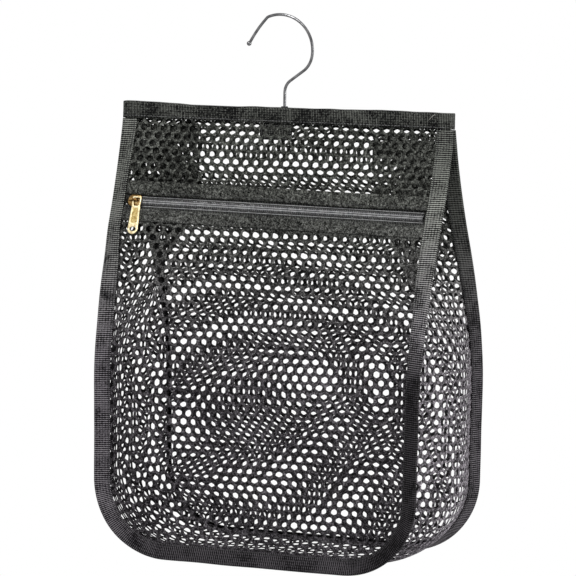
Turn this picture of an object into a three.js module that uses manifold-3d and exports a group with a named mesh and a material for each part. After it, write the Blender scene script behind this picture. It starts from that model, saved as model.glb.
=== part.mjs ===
// Peg bag of knitted mesh with a zipped front, hung from a swivelling wire hook. Millimetres, +Z up.
// The origin is the point of the hook's crown that rests on what the bag hangs from. The zip faces -Y.
import * as THREE from 'three';
import { mergeVertices } from 'three/addons/utils/BufferGeometryUtils.js';
import Module from 'manifold-3d';

const wasm = await Module();
wasm.setup();

// Bag: sizes of its face, seen from the front, and how it deepens below the straight top edge
const bagWidth = 290;
const bagHeight = 365;
const sideTaper = 5;
const hemTaper = 1.2;
const hemTaperDrop = 30;
const cornerRadius = 62;
const frontDepth = 59.6;
const backDepth = 83;
const swellDrop = 6;
const fullDepthDrop = 230;
const swellShare = 0.8;
const frontBulge = 24;
const backBulge = 20;
const frontBulgeDrop = 106;
const backBulgeDrop = 60;
const bulgeRiseShare = 1.6;
const bulgeCrownShare = 2.2;

// Gusset: folded inwards at the top, pushed outwards by the load lower down
const foldDepth = 57;
const foldDrop = 50;
const openDrop = 215;
const gussetBulge = 14;
const gussetFootBulge = 8.5;
const creaseHalf = 1.2;
const creaseRound = 0.9;
const zipRoomInward = [0.2, 0.4, 2.2];
const zipRoomBack = [1.1, 4.4, 6.2];
const seamBendShares = [0.03, 0.08, 0.15];
const leafShares = [0.3, 0.5, 0.7, 0.85, 0.95];

// Cloth and tape
const clearance = 0.3;
const meshCloth = 0.8;
const bindingTape = 0.7;
const bindingWidth = 13;
const frontSeamTurn = THREE.MathUtils.degToRad(27);
const backSeamTurn = THREE.MathUtils.degToRad(67);
const zipHeadTurn = THREE.MathUtils.degToRad(20);
const zipFootTurn = THREE.MathUtils.degToRad(27);
const zipTurnDrop = 165;
const overrun = 5;

// Hem: hanger bar, patch and the fastening of the hook
const hemSetback = 0.4;
const barThickness = 5;
const barHeight = 9;
const barEndGap = 4;
const patchWidth = 28;
const patchHeight = 13;
const patchSide = 7.4;
const washerRadius = 2.4;
const washerThickness = 0.8;
const nutAcrossFlats = 4.4;
const nutHeight = 1.5;
const stemTip = 1;

// Hook wire, bent in one plane from its stem to its tip
const wireRadius = 1.2;
const stemSide = 1.6;
const stemRise = 11.9;
const neckRadius = 11.6;
const neckTurn = THREE.MathUtils.degToRad(-54.3);
const slopeLength = 13.6;
const shoulderRadius = 18.4;
const shoulderTurn = THREE.MathUtils.degToRad(44.7);
const hookRadius = 28.2;
const hookTurn = THREE.MathUtils.degToRad(122);
const crookRadius = 3;
const crookTurn = THREE.MathUtils.degToRad(24.3);
const armRadius = 102;
const armTurn = THREE.MathUtils.degToRad(14.1);
const tipTurn = THREE.MathUtils.degToRad(-22);
const tipBallRadius = 2;

// Zip, laid out down the front from the top edge
const chainDrop = 80.4;
const upperBandHeight = 10.6;
const upperBandRise = 5.1;
const lowerBandHeight = 9.9;
const lowerBandFall = 6.1;
const zipFlatRise = 1.5;
const zipFlatFall = 1.8;
const zipFall = 1.2;
const zipEndRoom = 2;
const zipTape = 0.7;
const tapeWidth = 12;
const toothPitch = 1.8;
const toothWidth = 0.55;
const toothReach = 1.2;
const spineInner = 1.6;
const spineOuter = 2.8;
const chainThickness = 2.4;

// Slider, and the puller that hangs on the right leg of its bridge
const sliderLength = 11.5;
const sliderNoseHalf = 4.8;
const sliderTailHalf = 4.4;
const sliderPlate = 1.4;
const sliderTunnelHalf = spineOuter + clearance;
const wedgeStart = 1;
const wedgeLength = 3.2;
const wedgeHalf = 1.2;
const bridgeStart = 1;
const bridgeLength = 9;
const bridgeLeg = 2;
const bridgeWidth = 2.2;
const bridgeBar = 1;
const bridgeWindow = 2.5;
const pullerThickness = 1.2;
const pullerHeadHalf = 3.9;
const pullerWaistHalf = 3.6;
const pullerFootHalf = 4.5;
const pullerReach = 28.8;
const pullerRest = THREE.MathUtils.degToRad(1.5);
const ringInner = 1.8;
const ringWall = 1.2;
const ringOpening = 5;
const rimWall = 1;
const recessDepth = 0.3;
const recessStart = 7.5;
const recessEnd = 19.5;
const footHoleDrop = 24.6;
const footHoleHalfWidth = 2.8;
const footHoleHalfHeight = 2;

// How finely the cloth and the wire are divided
const openingShare = 0.6;
const hemRows = 3;
const bodyRows = 10;
const cornerSteps = 6;
const faceColumns = 12;
const wireSides = 12;
const wireStep = THREE.MathUtils.degToRad(9);
const roundSides = 24;

// Sizes that follow
const layerPitch = meshCloth + clearance;
const channelInnerHalf = layerPitch / 2 + meshCloth / 2 + clearance;
const channelOuterHalf = channelInnerHalf + bindingTape;
const topBindingLength = bagWidth - 2 * hemTaper - 2 * hemSetback;
const hemDepth = barThickness / 2 + clearance + meshCloth / 2 - layerPitch / 2;
const hemInnerHalf = hemDepth + channelInnerHalf;
const hemOuterHalf = hemInnerHalf + bindingTape;
const panelTop = bindingTape + clearance;
const barFoot = panelTop + barHeight;
const gussetTop = barFoot + clearance;
const sideBindingTop = bindingWidth + 2 * clearance;
const marginEdge = -(bindingTape + clearance);
const panelSeam = -(bindingWidth + clearance);
const gussetSeam = panelSeam - meshCloth / 2;
const upperBandFoot = chainDrop - upperBandRise;
const lowerBandDrop = chainDrop + lowerBandFall;
const lowerBandFoot = lowerBandDrop + lowerBandHeight;
const zipFlatDrop = upperBandFoot - upperBandHeight - zipFlatRise;
const zipFlatFoot = lowerBandFoot + zipFlatFall;
const upperPanelFoot = upperBandFoot - bindingTape - clearance;
const lowerPanelTop = lowerBandDrop + bindingTape + clearance;
const cornerCentreX = bagWidth / 2 - sideTaper - cornerRadius;
const cornerCentreDrop = bagHeight - cornerRadius;

const { clamp, lerp } = THREE.MathUtils;
const front = {
  way: -1,
  depth: frontDepth,
  turn: frontSeamTurn,
  bulge: frontBulge,
  bulgeTop: frontBulgeDrop,
};
const back = { way: 1, depth: backDepth, turn: backSeamTurn, bulge: backBulge, bulgeTop: backBulgeDrop };

const material = (color, roughness, metalness = 0) =>
  new THREE.MeshStandardMaterial({ color, roughness, metalness, side: THREE.DoubleSide });

function piece(name, geometry, finish) {
  const mesh = new THREE.Mesh(geometry, finish);
  mesh.name = name;
  return mesh;
}

// A closed geometry from points and triangles, turned so that its faces point out
function closedGeometry(points, triangles) {
  let volume = 0;
  for (const [a, b, c] of triangles) {
    volume += points[a].dot(new THREE.Vector3().crossVectors(points[b], points[c]));
  }
  const ordered = volume < 0 ? triangles.map(([a, b, c]) => [a, c, b]) : triangles;
  const geometry = new THREE.BufferGeometry();
  geometry.setAttribute('position', new THREE.Float32BufferAttribute(points.flatMap((p) => p.toArray()), 3));
  geometry.setIndex(ordered.flat());
  geometry.computeVertexNormals();
  return geometry;
}

// A solid through rings of matching points, with flat caps cut to the given section. Each side face is
// split from the section point further along x, so that stacked layers split alike and keep their gap
function loft(rings, section) {
  const count = section.length;
  const points = rings.flat();
  const triangles = [];
  for (let i = 0; i + 1 < rings.length; i += 1) {
    for (let j = 0; j < count; j += 1) {
      const a = i * count + j;
      const b = i * count + ((j + 1) % count);
      const fromA = section[j].x >= section[(j + 1) % count].x;
      if (fromA) triangles.push([a, b, b + count], [a, b + count, a + count]);
      else triangles.push([a, b, a + count], [b, b + count, a + count]);
    }
  }
  const last = (rings.length - 1) * count;
  const [near, far] = THREE.ShapeUtils.isClockWise(section) ? [last, 0] : [0, last];
  for (const [a, b, c] of THREE.ShapeUtils.triangulateShape(section, [])) {
    triangles.push([a + near, c + near, b + near], [a + far, b + far, c + far]);
  }
  return closedGeometry(points, triangles);
}

// A sheet of cloth of even thickness on both sides of a surface of four-sided faces
function thicken(points, fixedNormals, faces, thickness) {
  const normals = points.map(() => new THREE.Vector3());
  const edges = new Map();
  for (const face of faces) {
    const [a, b, c, d] = face;
    const across = new THREE.Vector3().subVectors(points[c], points[a]);
    const normal = across.cross(new THREE.Vector3().subVectors(points[d], points[b]));
    face.forEach((v) => normals[v].add(normal));
    face.forEach((v, i) => {
      const after = face[(i + 1) % face.length];
      edges.set(`${v}_${after}`, [v, after]);
    });
  }
  fixedNormals.forEach((fixed, i) => {
    if (fixed) normals[i].copy(fixed).multiplyScalar(Math.sign(fixed.dot(normals[i])));
    normals[i].normalize();
  });
  const shifted = (way) => points.map((p, i) => p.clone().addScaledVector(normals[i], (way * thickness) / 2));
  const count = points.length;
  const triangles = [];
  for (const [a, b, c, d] of faces) {
    triangles.push([a, b, c], [a, c, d]);
    triangles.push([a + count, c + count, b + count], [a + count, d + count, c + count]);
  }
  for (const [a, b] of edges.values()) {
    if (!edges.has(`${b}_${a}`)) triangles.push([b, a, a + count], [b, a + count, b + count]);
  }
  return closedGeometry([...shifted(1), ...shifted(-1)], triangles);
}

function toSolid(geometry) {
  const bare = geometry.clone();
  bare.deleteAttribute('normal');
  bare.deleteAttribute('uv');
  const merged = mergeVertices(bare);
  return new wasm.Manifold(new wasm.Mesh({
    numProp: 3,
    vertProperties: new Float32Array(merged.attributes.position.array),
    triVerts: new Uint32Array(merged.index.array),
  }));
}

function toGeometry(solid) {
  const mesh = solid.getMesh();
  const geometry = new THREE.BufferGeometry();
  geometry.setAttribute('position', new THREE.BufferAttribute(mesh.vertProperties, mesh.numProp));
  geometry.setIndex(new THREE.BufferAttribute(mesh.triVerts, 1));
  geometry.computeVertexNormals();
  return geometry;
}

// A box given by its lowest and highest corners
function boxBetween(low, high) {
  const size = high.map((value, i) => value - low[i]);
  const box = new THREE.BoxGeometry(...size);
  return box.translate(...low.map((value, i) => value + size[i] / 2));
}

function uprightCylinder(radius, low, high, sides = roundSides) {
  const cylinder = new THREE.CylinderGeometry(radius, radius, high - low, sides);
  return cylinder.rotateX(Math.PI / 2).translate(0, 0, (low + high) / 2);
}

// An outline in the XZ plane, given a thickness between two values of Y
function plateBetween(shape, nearY, farY, curveSegments = cornerSteps) {
  const plate = new THREE.ExtrudeGeometry(shape, { depth: farY - nearY, bevelEnabled: false, curveSegments });
  return plate.rotateX(Math.PI / 2).translate(0, farY, 0);
}

const smooth = (t) => clamp(t, 0, 1) ** 2 * (3 - 2 * clamp(t, 0, 1));
const swell = (drop) => smooth((drop - swellDrop) / (fullDepthDrop - swellDrop)) ** swellShare;
const halfWidth = (drop) =>
  bagWidth / 2 - sideTaper * smooth(drop / cornerCentreDrop) - hemTaper * smooth(1 - drop / hemTaperDrop);

// The stiff ends of the zip push the front seam's flange back on both sides
function zipPush(drop) {
  const share = clamp((drop - zipFlatDrop) / (zipFlatFoot - zipFlatDrop), 0, 1);
  const above = smooth((drop - sideBindingTop) / (zipFlatDrop - sideBindingTop));
  const below = 1 - smooth((drop - zipFlatFoot) / (zipTurnDrop - zipFlatFoot));
  return lerp(zipHeadTurn, zipFootTurn, share) * above * below;
}

const mirrored = (v) => new THREE.Vector3(-v.x, v.y, v.z);

// A place on the edge of a face: out points along the seam's flange, away from the bag
class Station {
  constructor(drop, edge, out, plainOut, normal) {
    Object.assign(this, { drop, edge, out, plainOut, normal });
  }

  static on(face, x, drop, outX, outZ) {
    const turn = face.turn * swell(drop) - (face === front ? zipPush(drop) : 0);
    const out = new THREE.Vector3(outX * Math.cos(turn), face.way * Math.sin(turn), outZ * Math.cos(turn));
    const edge = new THREE.Vector3(x, face.way * Math.hypot(hemDepth, face.depth * swell(drop)), -drop);
    return new Station(drop, edge, out, new THREE.Vector3(outX, 0, outZ), new THREE.Vector3());
  }

  static between(upper, lower, drop) {
    const mix = (key) => upper[key].clone().lerp(lower[key], (drop - upper.drop) / (lower.drop - upper.drop));
    return new Station(drop, mix('edge'), mix('out').normalize(), upper.plainOut, mix('normal').normalize());
  }

  flipped() {
    return new Station(this.drop, ...['edge', 'out', 'plainOut', 'normal'].map((key) => mirrored(this[key])));
  }

  // A point that lies a along the flange and b out of the bag from the edge
  at(a, b) {
    return this.edge.clone().addScaledVector(this.out, a).addScaledVector(this.normal, b);
  }
}

// One side of a face's edge, from the hem down and round the corner. The zip falls a little to the right
function sideOf(face, fall) {
  const side = (drop) => Station.on(face, halfWidth(drop), drop, 1, 0);
  const line = [side(panelTop)];
  for (let i = 0; i < hemRows; i += 1) line.push(side(lerp(sideBindingTop, zipFlatDrop, i / hemRows)));
  const [head, foot] = [side(zipFlatDrop), side(zipFlatFoot)];
  line.push(head);
  line.push(Station.between(head, foot, upperPanelFoot + fall));
  line.push(Station.between(head, foot, lowerPanelTop + fall));
  line.push(foot);
  for (let i = 1; i <= bodyRows; i += 1) line.push(side(lerp(zipFlatFoot, cornerCentreDrop, i / bodyRows)));
  for (let i = 1; i <= cornerSteps; i += 1) {
    const angle = (i / cornerSteps) * (Math.PI / 2);
    const x = cornerCentreX + cornerRadius * Math.cos(angle);
    const drop = cornerCentreDrop + cornerRadius * Math.sin(angle);
    line.push(Station.on(face, x, drop, Math.cos(angle), -Math.sin(angle)));
  }
  return line;
}

// The edge of a face from the top right corner down, round the foot and up to the top left corner
function edgeOf(face) {
  const right = sideOf(face, zipFall);
  const foot = [];
  for (let j = 1; j < faceColumns; j += 1) {
    foot.push(Station.on(face, cornerCentreX * (1 - (2 * j) / faceColumns), bagHeight, 0, -1));
  }
  const ring = [...right, ...foot, ...sideOf(face, -zipFall).map((s) => s.flipped()).reverse()];
  ring.forEach((s, i) => {
    const next = ring[Math.min(i + 1, ring.length - 1)];
    const previous = ring[Math.max(i - 1, 0)];
    s.normal.subVectors(next.edge, previous.edge).cross(s.out).normalize();
    s.normal.multiplyScalar(Math.sign(s.normal.y * face.way));
  });
  return { ring, rows: right.length };
}

const edges = { front: edgeOf(front), back: edgeOf(back) };
const firstBound = 1;
const upperPanelRows = hemRows + 2;
const lowerPanelFirst = hemRows + 3;
const lastRow = edges.front.rows - 1;
const openInBack = (row) => row >= firstBound && row < lastRow;
const openAbove = (row) => row >= firstBound && row <= hemRows;
const openBelow = (row) => row > lowerPanelFirst && row < lastRow;

// A four-sided face with an opening in its middle, as the four faces round the opening
function openedFace(face, points, normals) {
  const middle = new THREE.Vector3();
  face.forEach((v) => middle.addScaledVector(points[v], 1 / face.length));
  const inner = face.map((v) => {
    normals.push(null);
    return points.push(middle.clone().lerp(points[v], openingShare)) - 1;
  });
  return face.map((v, i) => {
    const next = (i + 1) % face.length;
    return [v, face[next], inner[next], inner[i]];
  });
}

// The mesh of one face between two of its rows, whose holes are drawn as one plain opening in each face
// that no tape covers. A face that reaches the foot also gets its bottom margin
function facePanel(face, edge, firstRow, endRow, openRows) {
  const { ring, rows } = edge;
  const points = [];
  const normals = [];
  const add = (point, normal) => normals.push(normal) && points.push(point) - 1;
  const footSeamDrop = -ring[rows - 1].at(panelSeam, layerPitch / 2).z;
  const grid = [];
  for (let i = firstRow; i <= endRow; i += 1) {
    const s = ring[i];
    const other = ring[ring.length - 1 - i];
    const seam = s.at(panelSeam, layerPitch / 2);
    const otherSeam = other.at(panelSeam, layerPitch / 2);
    const rise = Math.sin(Math.PI * clamp((-seam.z - face.bulgeTop) / (footSeamDrop - face.bulgeTop), 0, 1));
    const line = [add(s.at(marginEdge, layerPitch / 2), s.normal), add(seam, s.normal)];
    for (let j = 1; j < faceColumns; j += 1) {
      const share = 1 - (2 * j) / faceColumns;
      const crown = 1 - Math.abs(share) ** bulgeCrownShare;
      const point = seam.clone().lerp(otherSeam, j / faceColumns);
      point.y += face.way * face.bulge * crown * rise ** bulgeRiseShare;
      line.push(add(point, i === rows - 1 ? s.normal : null));
    }
    line.push(add(otherSeam, other.normal));
    line.push(add(other.at(marginEdge, layerPitch / 2), other.normal));
    grid.push(line);
  }
  if (endRow === rows - 1) {
    const seamLine = grid[grid.length - 1];
    const margin = [null, seamLine[0]];
    for (let j = 1; j < faceColumns; j += 1) {
      const s = ring[rows - 1 + j];
      margin.push(add(s.at(marginEdge, layerPitch / 2), s.normal));
    }
    grid.push([...margin, seamLine[seamLine.length - 1], null]);
  }
  const faces = [];
  for (let i = 0; i + 1 < grid.length; i += 1) {
    for (let j = 0; j + 1 < grid[i].length; j += 1) {
      const quad = [grid[i][j], grid[i][j + 1], grid[i + 1][j + 1], grid[i + 1][j]];
      const open = openRows(i + firstRow) && j > 0 && j <= faceColumns;
      if (open) faces.push(...openedFace(quad, points, normals));
      else if (!quad.includes(null)) faces.push(quad);
    }
  }
  return thicken(points, normals, faces, meshCloth);
}

// How far the gusset's middle stands out of the seams at a height: inwards at the top, outwards below
const gussetOpening = (drop) => smooth((drop - foldDrop) / (openDrop - foldDrop));

// The gusset's cross-section from the front margin to the back margin. Beside the zip, the front leaf
// first turns back behind the ends of the zip
function gussetSection(a, b) {
  const seamA = a.at(gussetSeam, -layerPitch / 2);
  const seamB = b.at(gussetSeam, -layerPitch / 2);
  const chord = new THREE.Vector3().subVectors(seamB, seamA);
  const across = chord.clone().normalize();
  const opened = gussetOpening(a.drop);
  const stand = lerp(-foldDepth, lerp(gussetBulge, gussetFootBulge, -a.plainOut.z), opened);
  const place = (share, slide = 0, extra = 0) => {
    const profile = lerp(1 - Math.abs(2 * share - 1), Math.sin(Math.PI * share), opened);
    const point = seamA.clone().addScaledVector(chord, share).addScaledVector(across, slide);
    return point.addScaledVector(a.plainOut, stand * profile + extra);
  };
  const besideZip = a.drop >= zipFlatDrop && a.drop <= zipFlatFoot;
  const bend = seamBendShares.map((share, i) => (besideZip
    ? seamA.clone().addScaledVector(a.plainOut, -zipRoomInward[i]).addScaledVector(across, zipRoomBack[i])
    : place(share)));
  const half = lerp(creaseHalf, chord.length() / bodyRows, opened);
  const round = creaseRound * (1 - opened);
  const frontMargin = a.at(marginEdge, -layerPitch / 2);
  const backMargin = b.at(marginEdge, -layerPitch / 2);
  const [leaf, middle, ...rest] = leafShares;
  const crease = [place(middle, -half, round), place(middle), place(middle, half, round)];
  const outer = rest.map((share) => place(share));
  return [frontMargin, seamA, ...bend, place(leaf), ...crease, ...outer, seamB, backMargin];
}

// One strip of mesh between the two faces, from hem to hem
function gussetStrip() {
  const [a, b] = [edges.front.ring, edges.back.ring].map((ring) => {
    const head = Station.between(ring[0], ring[1], gussetTop);
    return [head, ...ring.slice(1, -1), head.flipped()];
  });
  const points = [];
  const normals = [];
  const grid = a.map((s, i) => gussetSection(s, b[i]).map((point, j, line) => {
    normals.push(j < 2 ? s.normal : j > line.length - 3 ? b[i].normal : null);
    return points.push(point) - 1;
  }));
  const faces = [];
  for (let i = 0; i + 1 < grid.length; i += 1) {
    for (let j = 0; j + 1 < grid[i].length; j += 1) {
      const quad = [grid[i][j], grid[i][j + 1], grid[i + 1][j + 1], grid[i + 1][j]];
      faces.push(2 * j < grid[i].length ? quad : [...quad.slice(1), quad[0]]);
    }
  }
  return thicken(points, normals, faces, meshCloth);
}

// Tape folded round the raw edges: a channel whose closed side is at a = 0
function channelSection(width, outerHalf, innerHalf) {
  return [
    new THREE.Vector2(0, -outerHalf),
    new THREE.Vector2(0, outerHalf),
    new THREE.Vector2(-width, outerHalf),
    new THREE.Vector2(-width, innerHalf),
    new THREE.Vector2(-bindingTape, innerHalf),
    new THREE.Vector2(-bindingTape, -innerHalf),
    new THREE.Vector2(-width, -innerHalf),
    new THREE.Vector2(-width, -outerHalf),
  ];
}

function edgeBinding(edge) {
  const section = channelSection(bindingWidth, channelOuterHalf, channelInnerHalf);
  const bound = edge.ring.slice(firstBound, edge.ring.length - firstBound);
  return loft(bound.map((s) => section.map((p) => s.at(p.x, p.y))), section);
}

// A channel along X between two ends, closed side up or down
function straightChannel(section, halfLength, place) {
  return loft([-halfLength, halfLength].map((x) => section.map((p) => place(x, p))), section);
}

function topBinding() {
  const section = channelSection(bindingWidth, hemOuterHalf, hemInnerHalf);
  const upright = (x, p) => new THREE.Vector3(x, p.y, p.x);
  const tape = toSolid(straightChannel(section, topBindingLength / 2, upright));
  const eyelet = uprightCylinder(wireRadius + 2 * clearance, -bindingWidth / 2, overrun);
  return toGeometry(tape.subtract(toSolid(eyelet.translate(-stemSide, 0, 0))));
}

function hangerBar() {
  const half = topBindingLength / 2 - barEndGap;
  const end = barHeight / 2;
  const shape = new THREE.Shape();
  shape.moveTo(-half + end, -end);
  shape.lineTo(half - end, -end);
  shape.absarc(half - end, 0, end, -Math.PI / 2, Math.PI / 2);
  shape.lineTo(-half + end, end);
  shape.absarc(-half + end, 0, end, Math.PI / 2, (3 * Math.PI) / 2);
  const bar = plateBetween(shape, -barThickness / 2, barThickness / 2);
  bar.translate(0, 0, -panelTop - end);
  const bore = uprightCylinder(wireRadius + clearance, -barFoot - overrun, overrun)
    .translate(-stemSide, 0, 0);
  return toGeometry(toSolid(bar).subtract(toSolid(bore)));
}

// The patch lies against the inside of the front mesh, below the top binding
function hookPatch() {
  const { ring } = edges.front;
  const head = ring[1].at(panelSeam, layerPitch / 2);
  const foot = ring[2].at(panelSeam, layerPitch / 2);
  const slope = new THREE.Vector3(0, foot.y - head.y, foot.z - head.z).normalize();
  const inward = new THREE.Vector3(0, -slope.z, slope.y);
  const near = meshCloth / 2 + clearance;
  const far = near + bindingTape;
  const corners = [[0, near], [patchHeight, near], [patchHeight, far], [0, far]];
  const section = corners.map(([along, depth]) => new THREE.Vector2(-along, depth));
  const place = (x, p) => new THREE.Vector3(x - patchSide, head.y, head.z)
    .addScaledVector(slope, -p.x).addScaledVector(inward, p.y);
  return straightChannel(section, patchWidth / 2, place);
}

// The wire runs straight and bends in turn. Its stem stands at x = 0, and z = 0 is the bag's top edge
const stemFoot = -(barFoot + 2 * clearance + washerThickness + clearance + nutHeight + stemTip);
const wirePath = [{ at: new THREE.Vector2(0, stemFoot), heading: Math.PI / 2 }];

function runWire(length) {
  const { at, heading } = wirePath[wirePath.length - 1];
  const step = new THREE.Vector2(Math.cos(heading), Math.sin(heading)).multiplyScalar(length);
  wirePath.push({ at: at.clone().add(step), heading });
}

function bendWire(radius, turn) {
  const { at, heading } = wirePath[wirePath.length - 1];
  const reach = Math.sign(turn) * radius;
  const spoke = (angle) => new THREE.Vector2(Math.sin(angle), -Math.cos(angle)).multiplyScalar(reach);
  const centre = at.clone().sub(spoke(heading));
  const steps = Math.ceil(Math.abs(turn) / wireStep);
  for (let i = 1; i <= steps; i += 1) {
    const angle = heading + (turn * i) / steps;
    wirePath.push({ at: centre.clone().add(spoke(angle)), heading: angle });
  }
  return centre;
}

runWire(stemRise - stemFoot);
bendWire(neckRadius, neckTurn);
runWire(slopeLength);
bendWire(shoulderRadius, shoulderTurn);
const hookCentre = bendWire(hookRadius, hookTurn);
bendWire(crookRadius, crookTurn);
bendWire(armRadius, armTurn);
bendWire(crookRadius, tipTurn);

function hookWire() {
  const section = Array.from({ length: wireSides }, (_, i) => {
    const angle = (2 * Math.PI * i) / wireSides;
    return new THREE.Vector2(Math.cos(angle), Math.sin(angle)).multiplyScalar(wireRadius);
  });
  const rings = wirePath.map(({ at, heading }) => section.map((p) => new THREE.Vector3(
    at.x - Math.sin(heading) * p.x,
    p.y,
    at.y + Math.cos(heading) * p.x,
  )));
  const tip = wirePath[wirePath.length - 1].at;
  const ball = new THREE.SphereGeometry(tipBallRadius, wireSides, cornerSteps + 2).translate(tip.x, 0, tip.y);
  return toGeometry(toSolid(loft(rings, section)).add(toSolid(ball)));
}

// A ring or a nut round the stem, between two drops below the top edge
function stemCollar(outerRadius, topDrop, height, sides) {
  const outer = uprightCylinder(outerRadius, -topDrop - height, -topDrop, sides);
  const boreFoot = -topDrop - height - overrun;
  const bore = uprightCylinder(wireRadius + clearance, boreFoot, -topDrop + overrun, roundSides);
  return toGeometry(toSolid(outer).subtract(toSolid(bore)));
}

// The zip lies in the flat part of the front between its two bands, and is built in that plane
const zipHead = edges.front.ring[hemRows + 1].at(panelSeam, layerPitch / 2);
const zipFoot = edges.front.ring[hemRows + 4].at(panelSeam, layerPitch / 2);
const zipLean = Math.atan2(zipHead.y - zipFoot.y, zipHead.z - zipFoot.z);
const zipSlope = zipHead.distanceTo(zipFoot.clone().setX(zipHead.x)) / (zipHead.z - zipFoot.z);
const chainShare = (chainDrop - zipFlatDrop) / (zipFlatFoot - zipFlatDrop);
const zipOrigin = zipHead.clone().lerp(zipFoot, chainShare).setX(0);
const zipUp = (drop) => (chainDrop - drop) * zipSlope;
const bandInnerHalf = meshCloth / 2 + clearance;
const bandOuterHalf = bandInnerHalf + bindingTape;
const tapeCentre = bandOuterHalf + clearance + zipTape / 2;
const zipHalf = Math.min(zipHead.x, zipFoot.x) - zipEndRoom;
const sliderStart = -zipHalf + clearance;
const teethStart = sliderStart + wedgeStart + wedgeLength + clearance;
const plateFront = -(chainThickness / 2 + clearance + sliderPlate);
const barBack = plateFront - bridgeWindow;
const pivotX = sliderStart + bridgeStart + bridgeLength - bridgeLeg / 2;

// Tape folded round the mesh's edge beside the zip: way is 1 for a closed side that faces up
function zipBand(closedDrop, width, way) {
  const section = channelSection(width * zipSlope, bandOuterHalf, bandInnerHalf);
  const place = (x, p) => new THREE.Vector3(x, p.y, zipUp(closedDrop) + way * p.x);
  return straightChannel(section, zipHalf, place);
}

function zipTapeStrip(way) {
  const near = spineOuter + clearance;
  const [low, high] = way > 0 ? [near, near + tapeWidth] : [-near - tapeWidth, -near];
  return boxBetween([-zipHalf, tapeCentre - zipTape / 2, low], [zipHalf, tapeCentre + zipTape / 2, high]);
}

// A row of teeth on its spine. The rows are half a pitch apart, so that each tooth sits between two others
function teethRow(way) {
  const shape = new THREE.Shape();
  const count = Math.floor((zipHalf - teethStart) / toothPitch);
  const shift = way > 0 ? 0 : toothPitch / 2;
  shape.moveTo(teethStart, way * spineOuter);
  shape.lineTo(teethStart, way * spineInner);
  for (let i = 0; i < count; i += 1) {
    const left = teethStart + shift + (i + 1 / 4) * toothPitch - toothWidth / 2;
    shape.lineTo(left, way * spineInner);
    shape.lineTo(left, -way * toothReach);
    shape.lineTo(left + toothWidth, -way * toothReach);
    shape.lineTo(left + toothWidth, way * spineInner);
  }
  shape.lineTo(zipHalf, way * spineInner);
  shape.lineTo(zipHalf, way * spineOuter);
  return plateBetween(shape, tapeCentre - chainThickness / 2, tapeCentre + chainThickness / 2);
}

// The slider is a block with the tunnel for the chain and the slots for the tapes cut through it
function sliderBody() {
  const nose = sliderStart;
  const tail = sliderStart + sliderLength;
  const shape = new THREE.Shape();
  shape.moveTo(tail, -sliderTailHalf);
  shape.lineTo(nose + wedgeLength * 2, -sliderNoseHalf);
  shape.quadraticCurveTo(nose, -sliderNoseHalf, nose, -sliderTunnelHalf);
  shape.lineTo(nose, sliderTunnelHalf);
  shape.quadraticCurveTo(nose, sliderNoseHalf, nose + wedgeLength * 2, sliderNoseHalf);
  shape.lineTo(tail, sliderTailHalf);
  const tunnelHalf = chainThickness / 2 + clearance;
  const slotHalf = zipTape / 2 + clearance;
  const block = toSolid(plateBetween(shape, plateFront, tunnelHalf + sliderPlate));
  const cut = (halfY, halfZ) => toSolid(boxBetween(
    [nose - overrun, -halfY, -halfZ],
    [tail + overrun, halfY, halfZ],
  ));
  const wedge = boxBetween(
    [nose + wedgeStart, -tunnelHalf - clearance, -wedgeHalf],
    [nose + wedgeStart + wedgeLength, tunnelHalf + clearance, wedgeHalf],
  );
  const slot = cut(slotHalf, sliderNoseHalf + overrun);
  const hollow = block.subtract(cut(tunnelHalf, sliderTunnelHalf)).subtract(slot);
  return toGeometry(hollow.add(toSolid(wedge)).add(toSolid(bridge())));
}

// The bridge is an arch in the plane of the slider's travel, with sloped shoulders
function bridge() {
  const left = sliderStart + bridgeStart;
  const right = left + bridgeLength;
  const foot = plateFront + sliderPlate / 2;
  const crown = barBack - bridgeBar;
  const arch = new THREE.Shape();
  arch.moveTo(left, foot);
  arch.lineTo(left, barBack);
  arch.lineTo(left + bridgeBar, crown);
  arch.lineTo(right - bridgeBar, crown);
  arch.lineTo(right, barBack);
  arch.lineTo(right, foot);
  arch.lineTo(right - bridgeLeg, foot);
  arch.lineTo(right - bridgeLeg, barBack);
  arch.lineTo(left + bridgeLeg, barBack);
  arch.lineTo(left + bridgeLeg, foot);
  const geometry = new THREE.ExtrudeGeometry(arch, { depth: bridgeWidth, bevelEnabled: false });
  return geometry.translate(0, 0, -bridgeWidth / 2);
}

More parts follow.
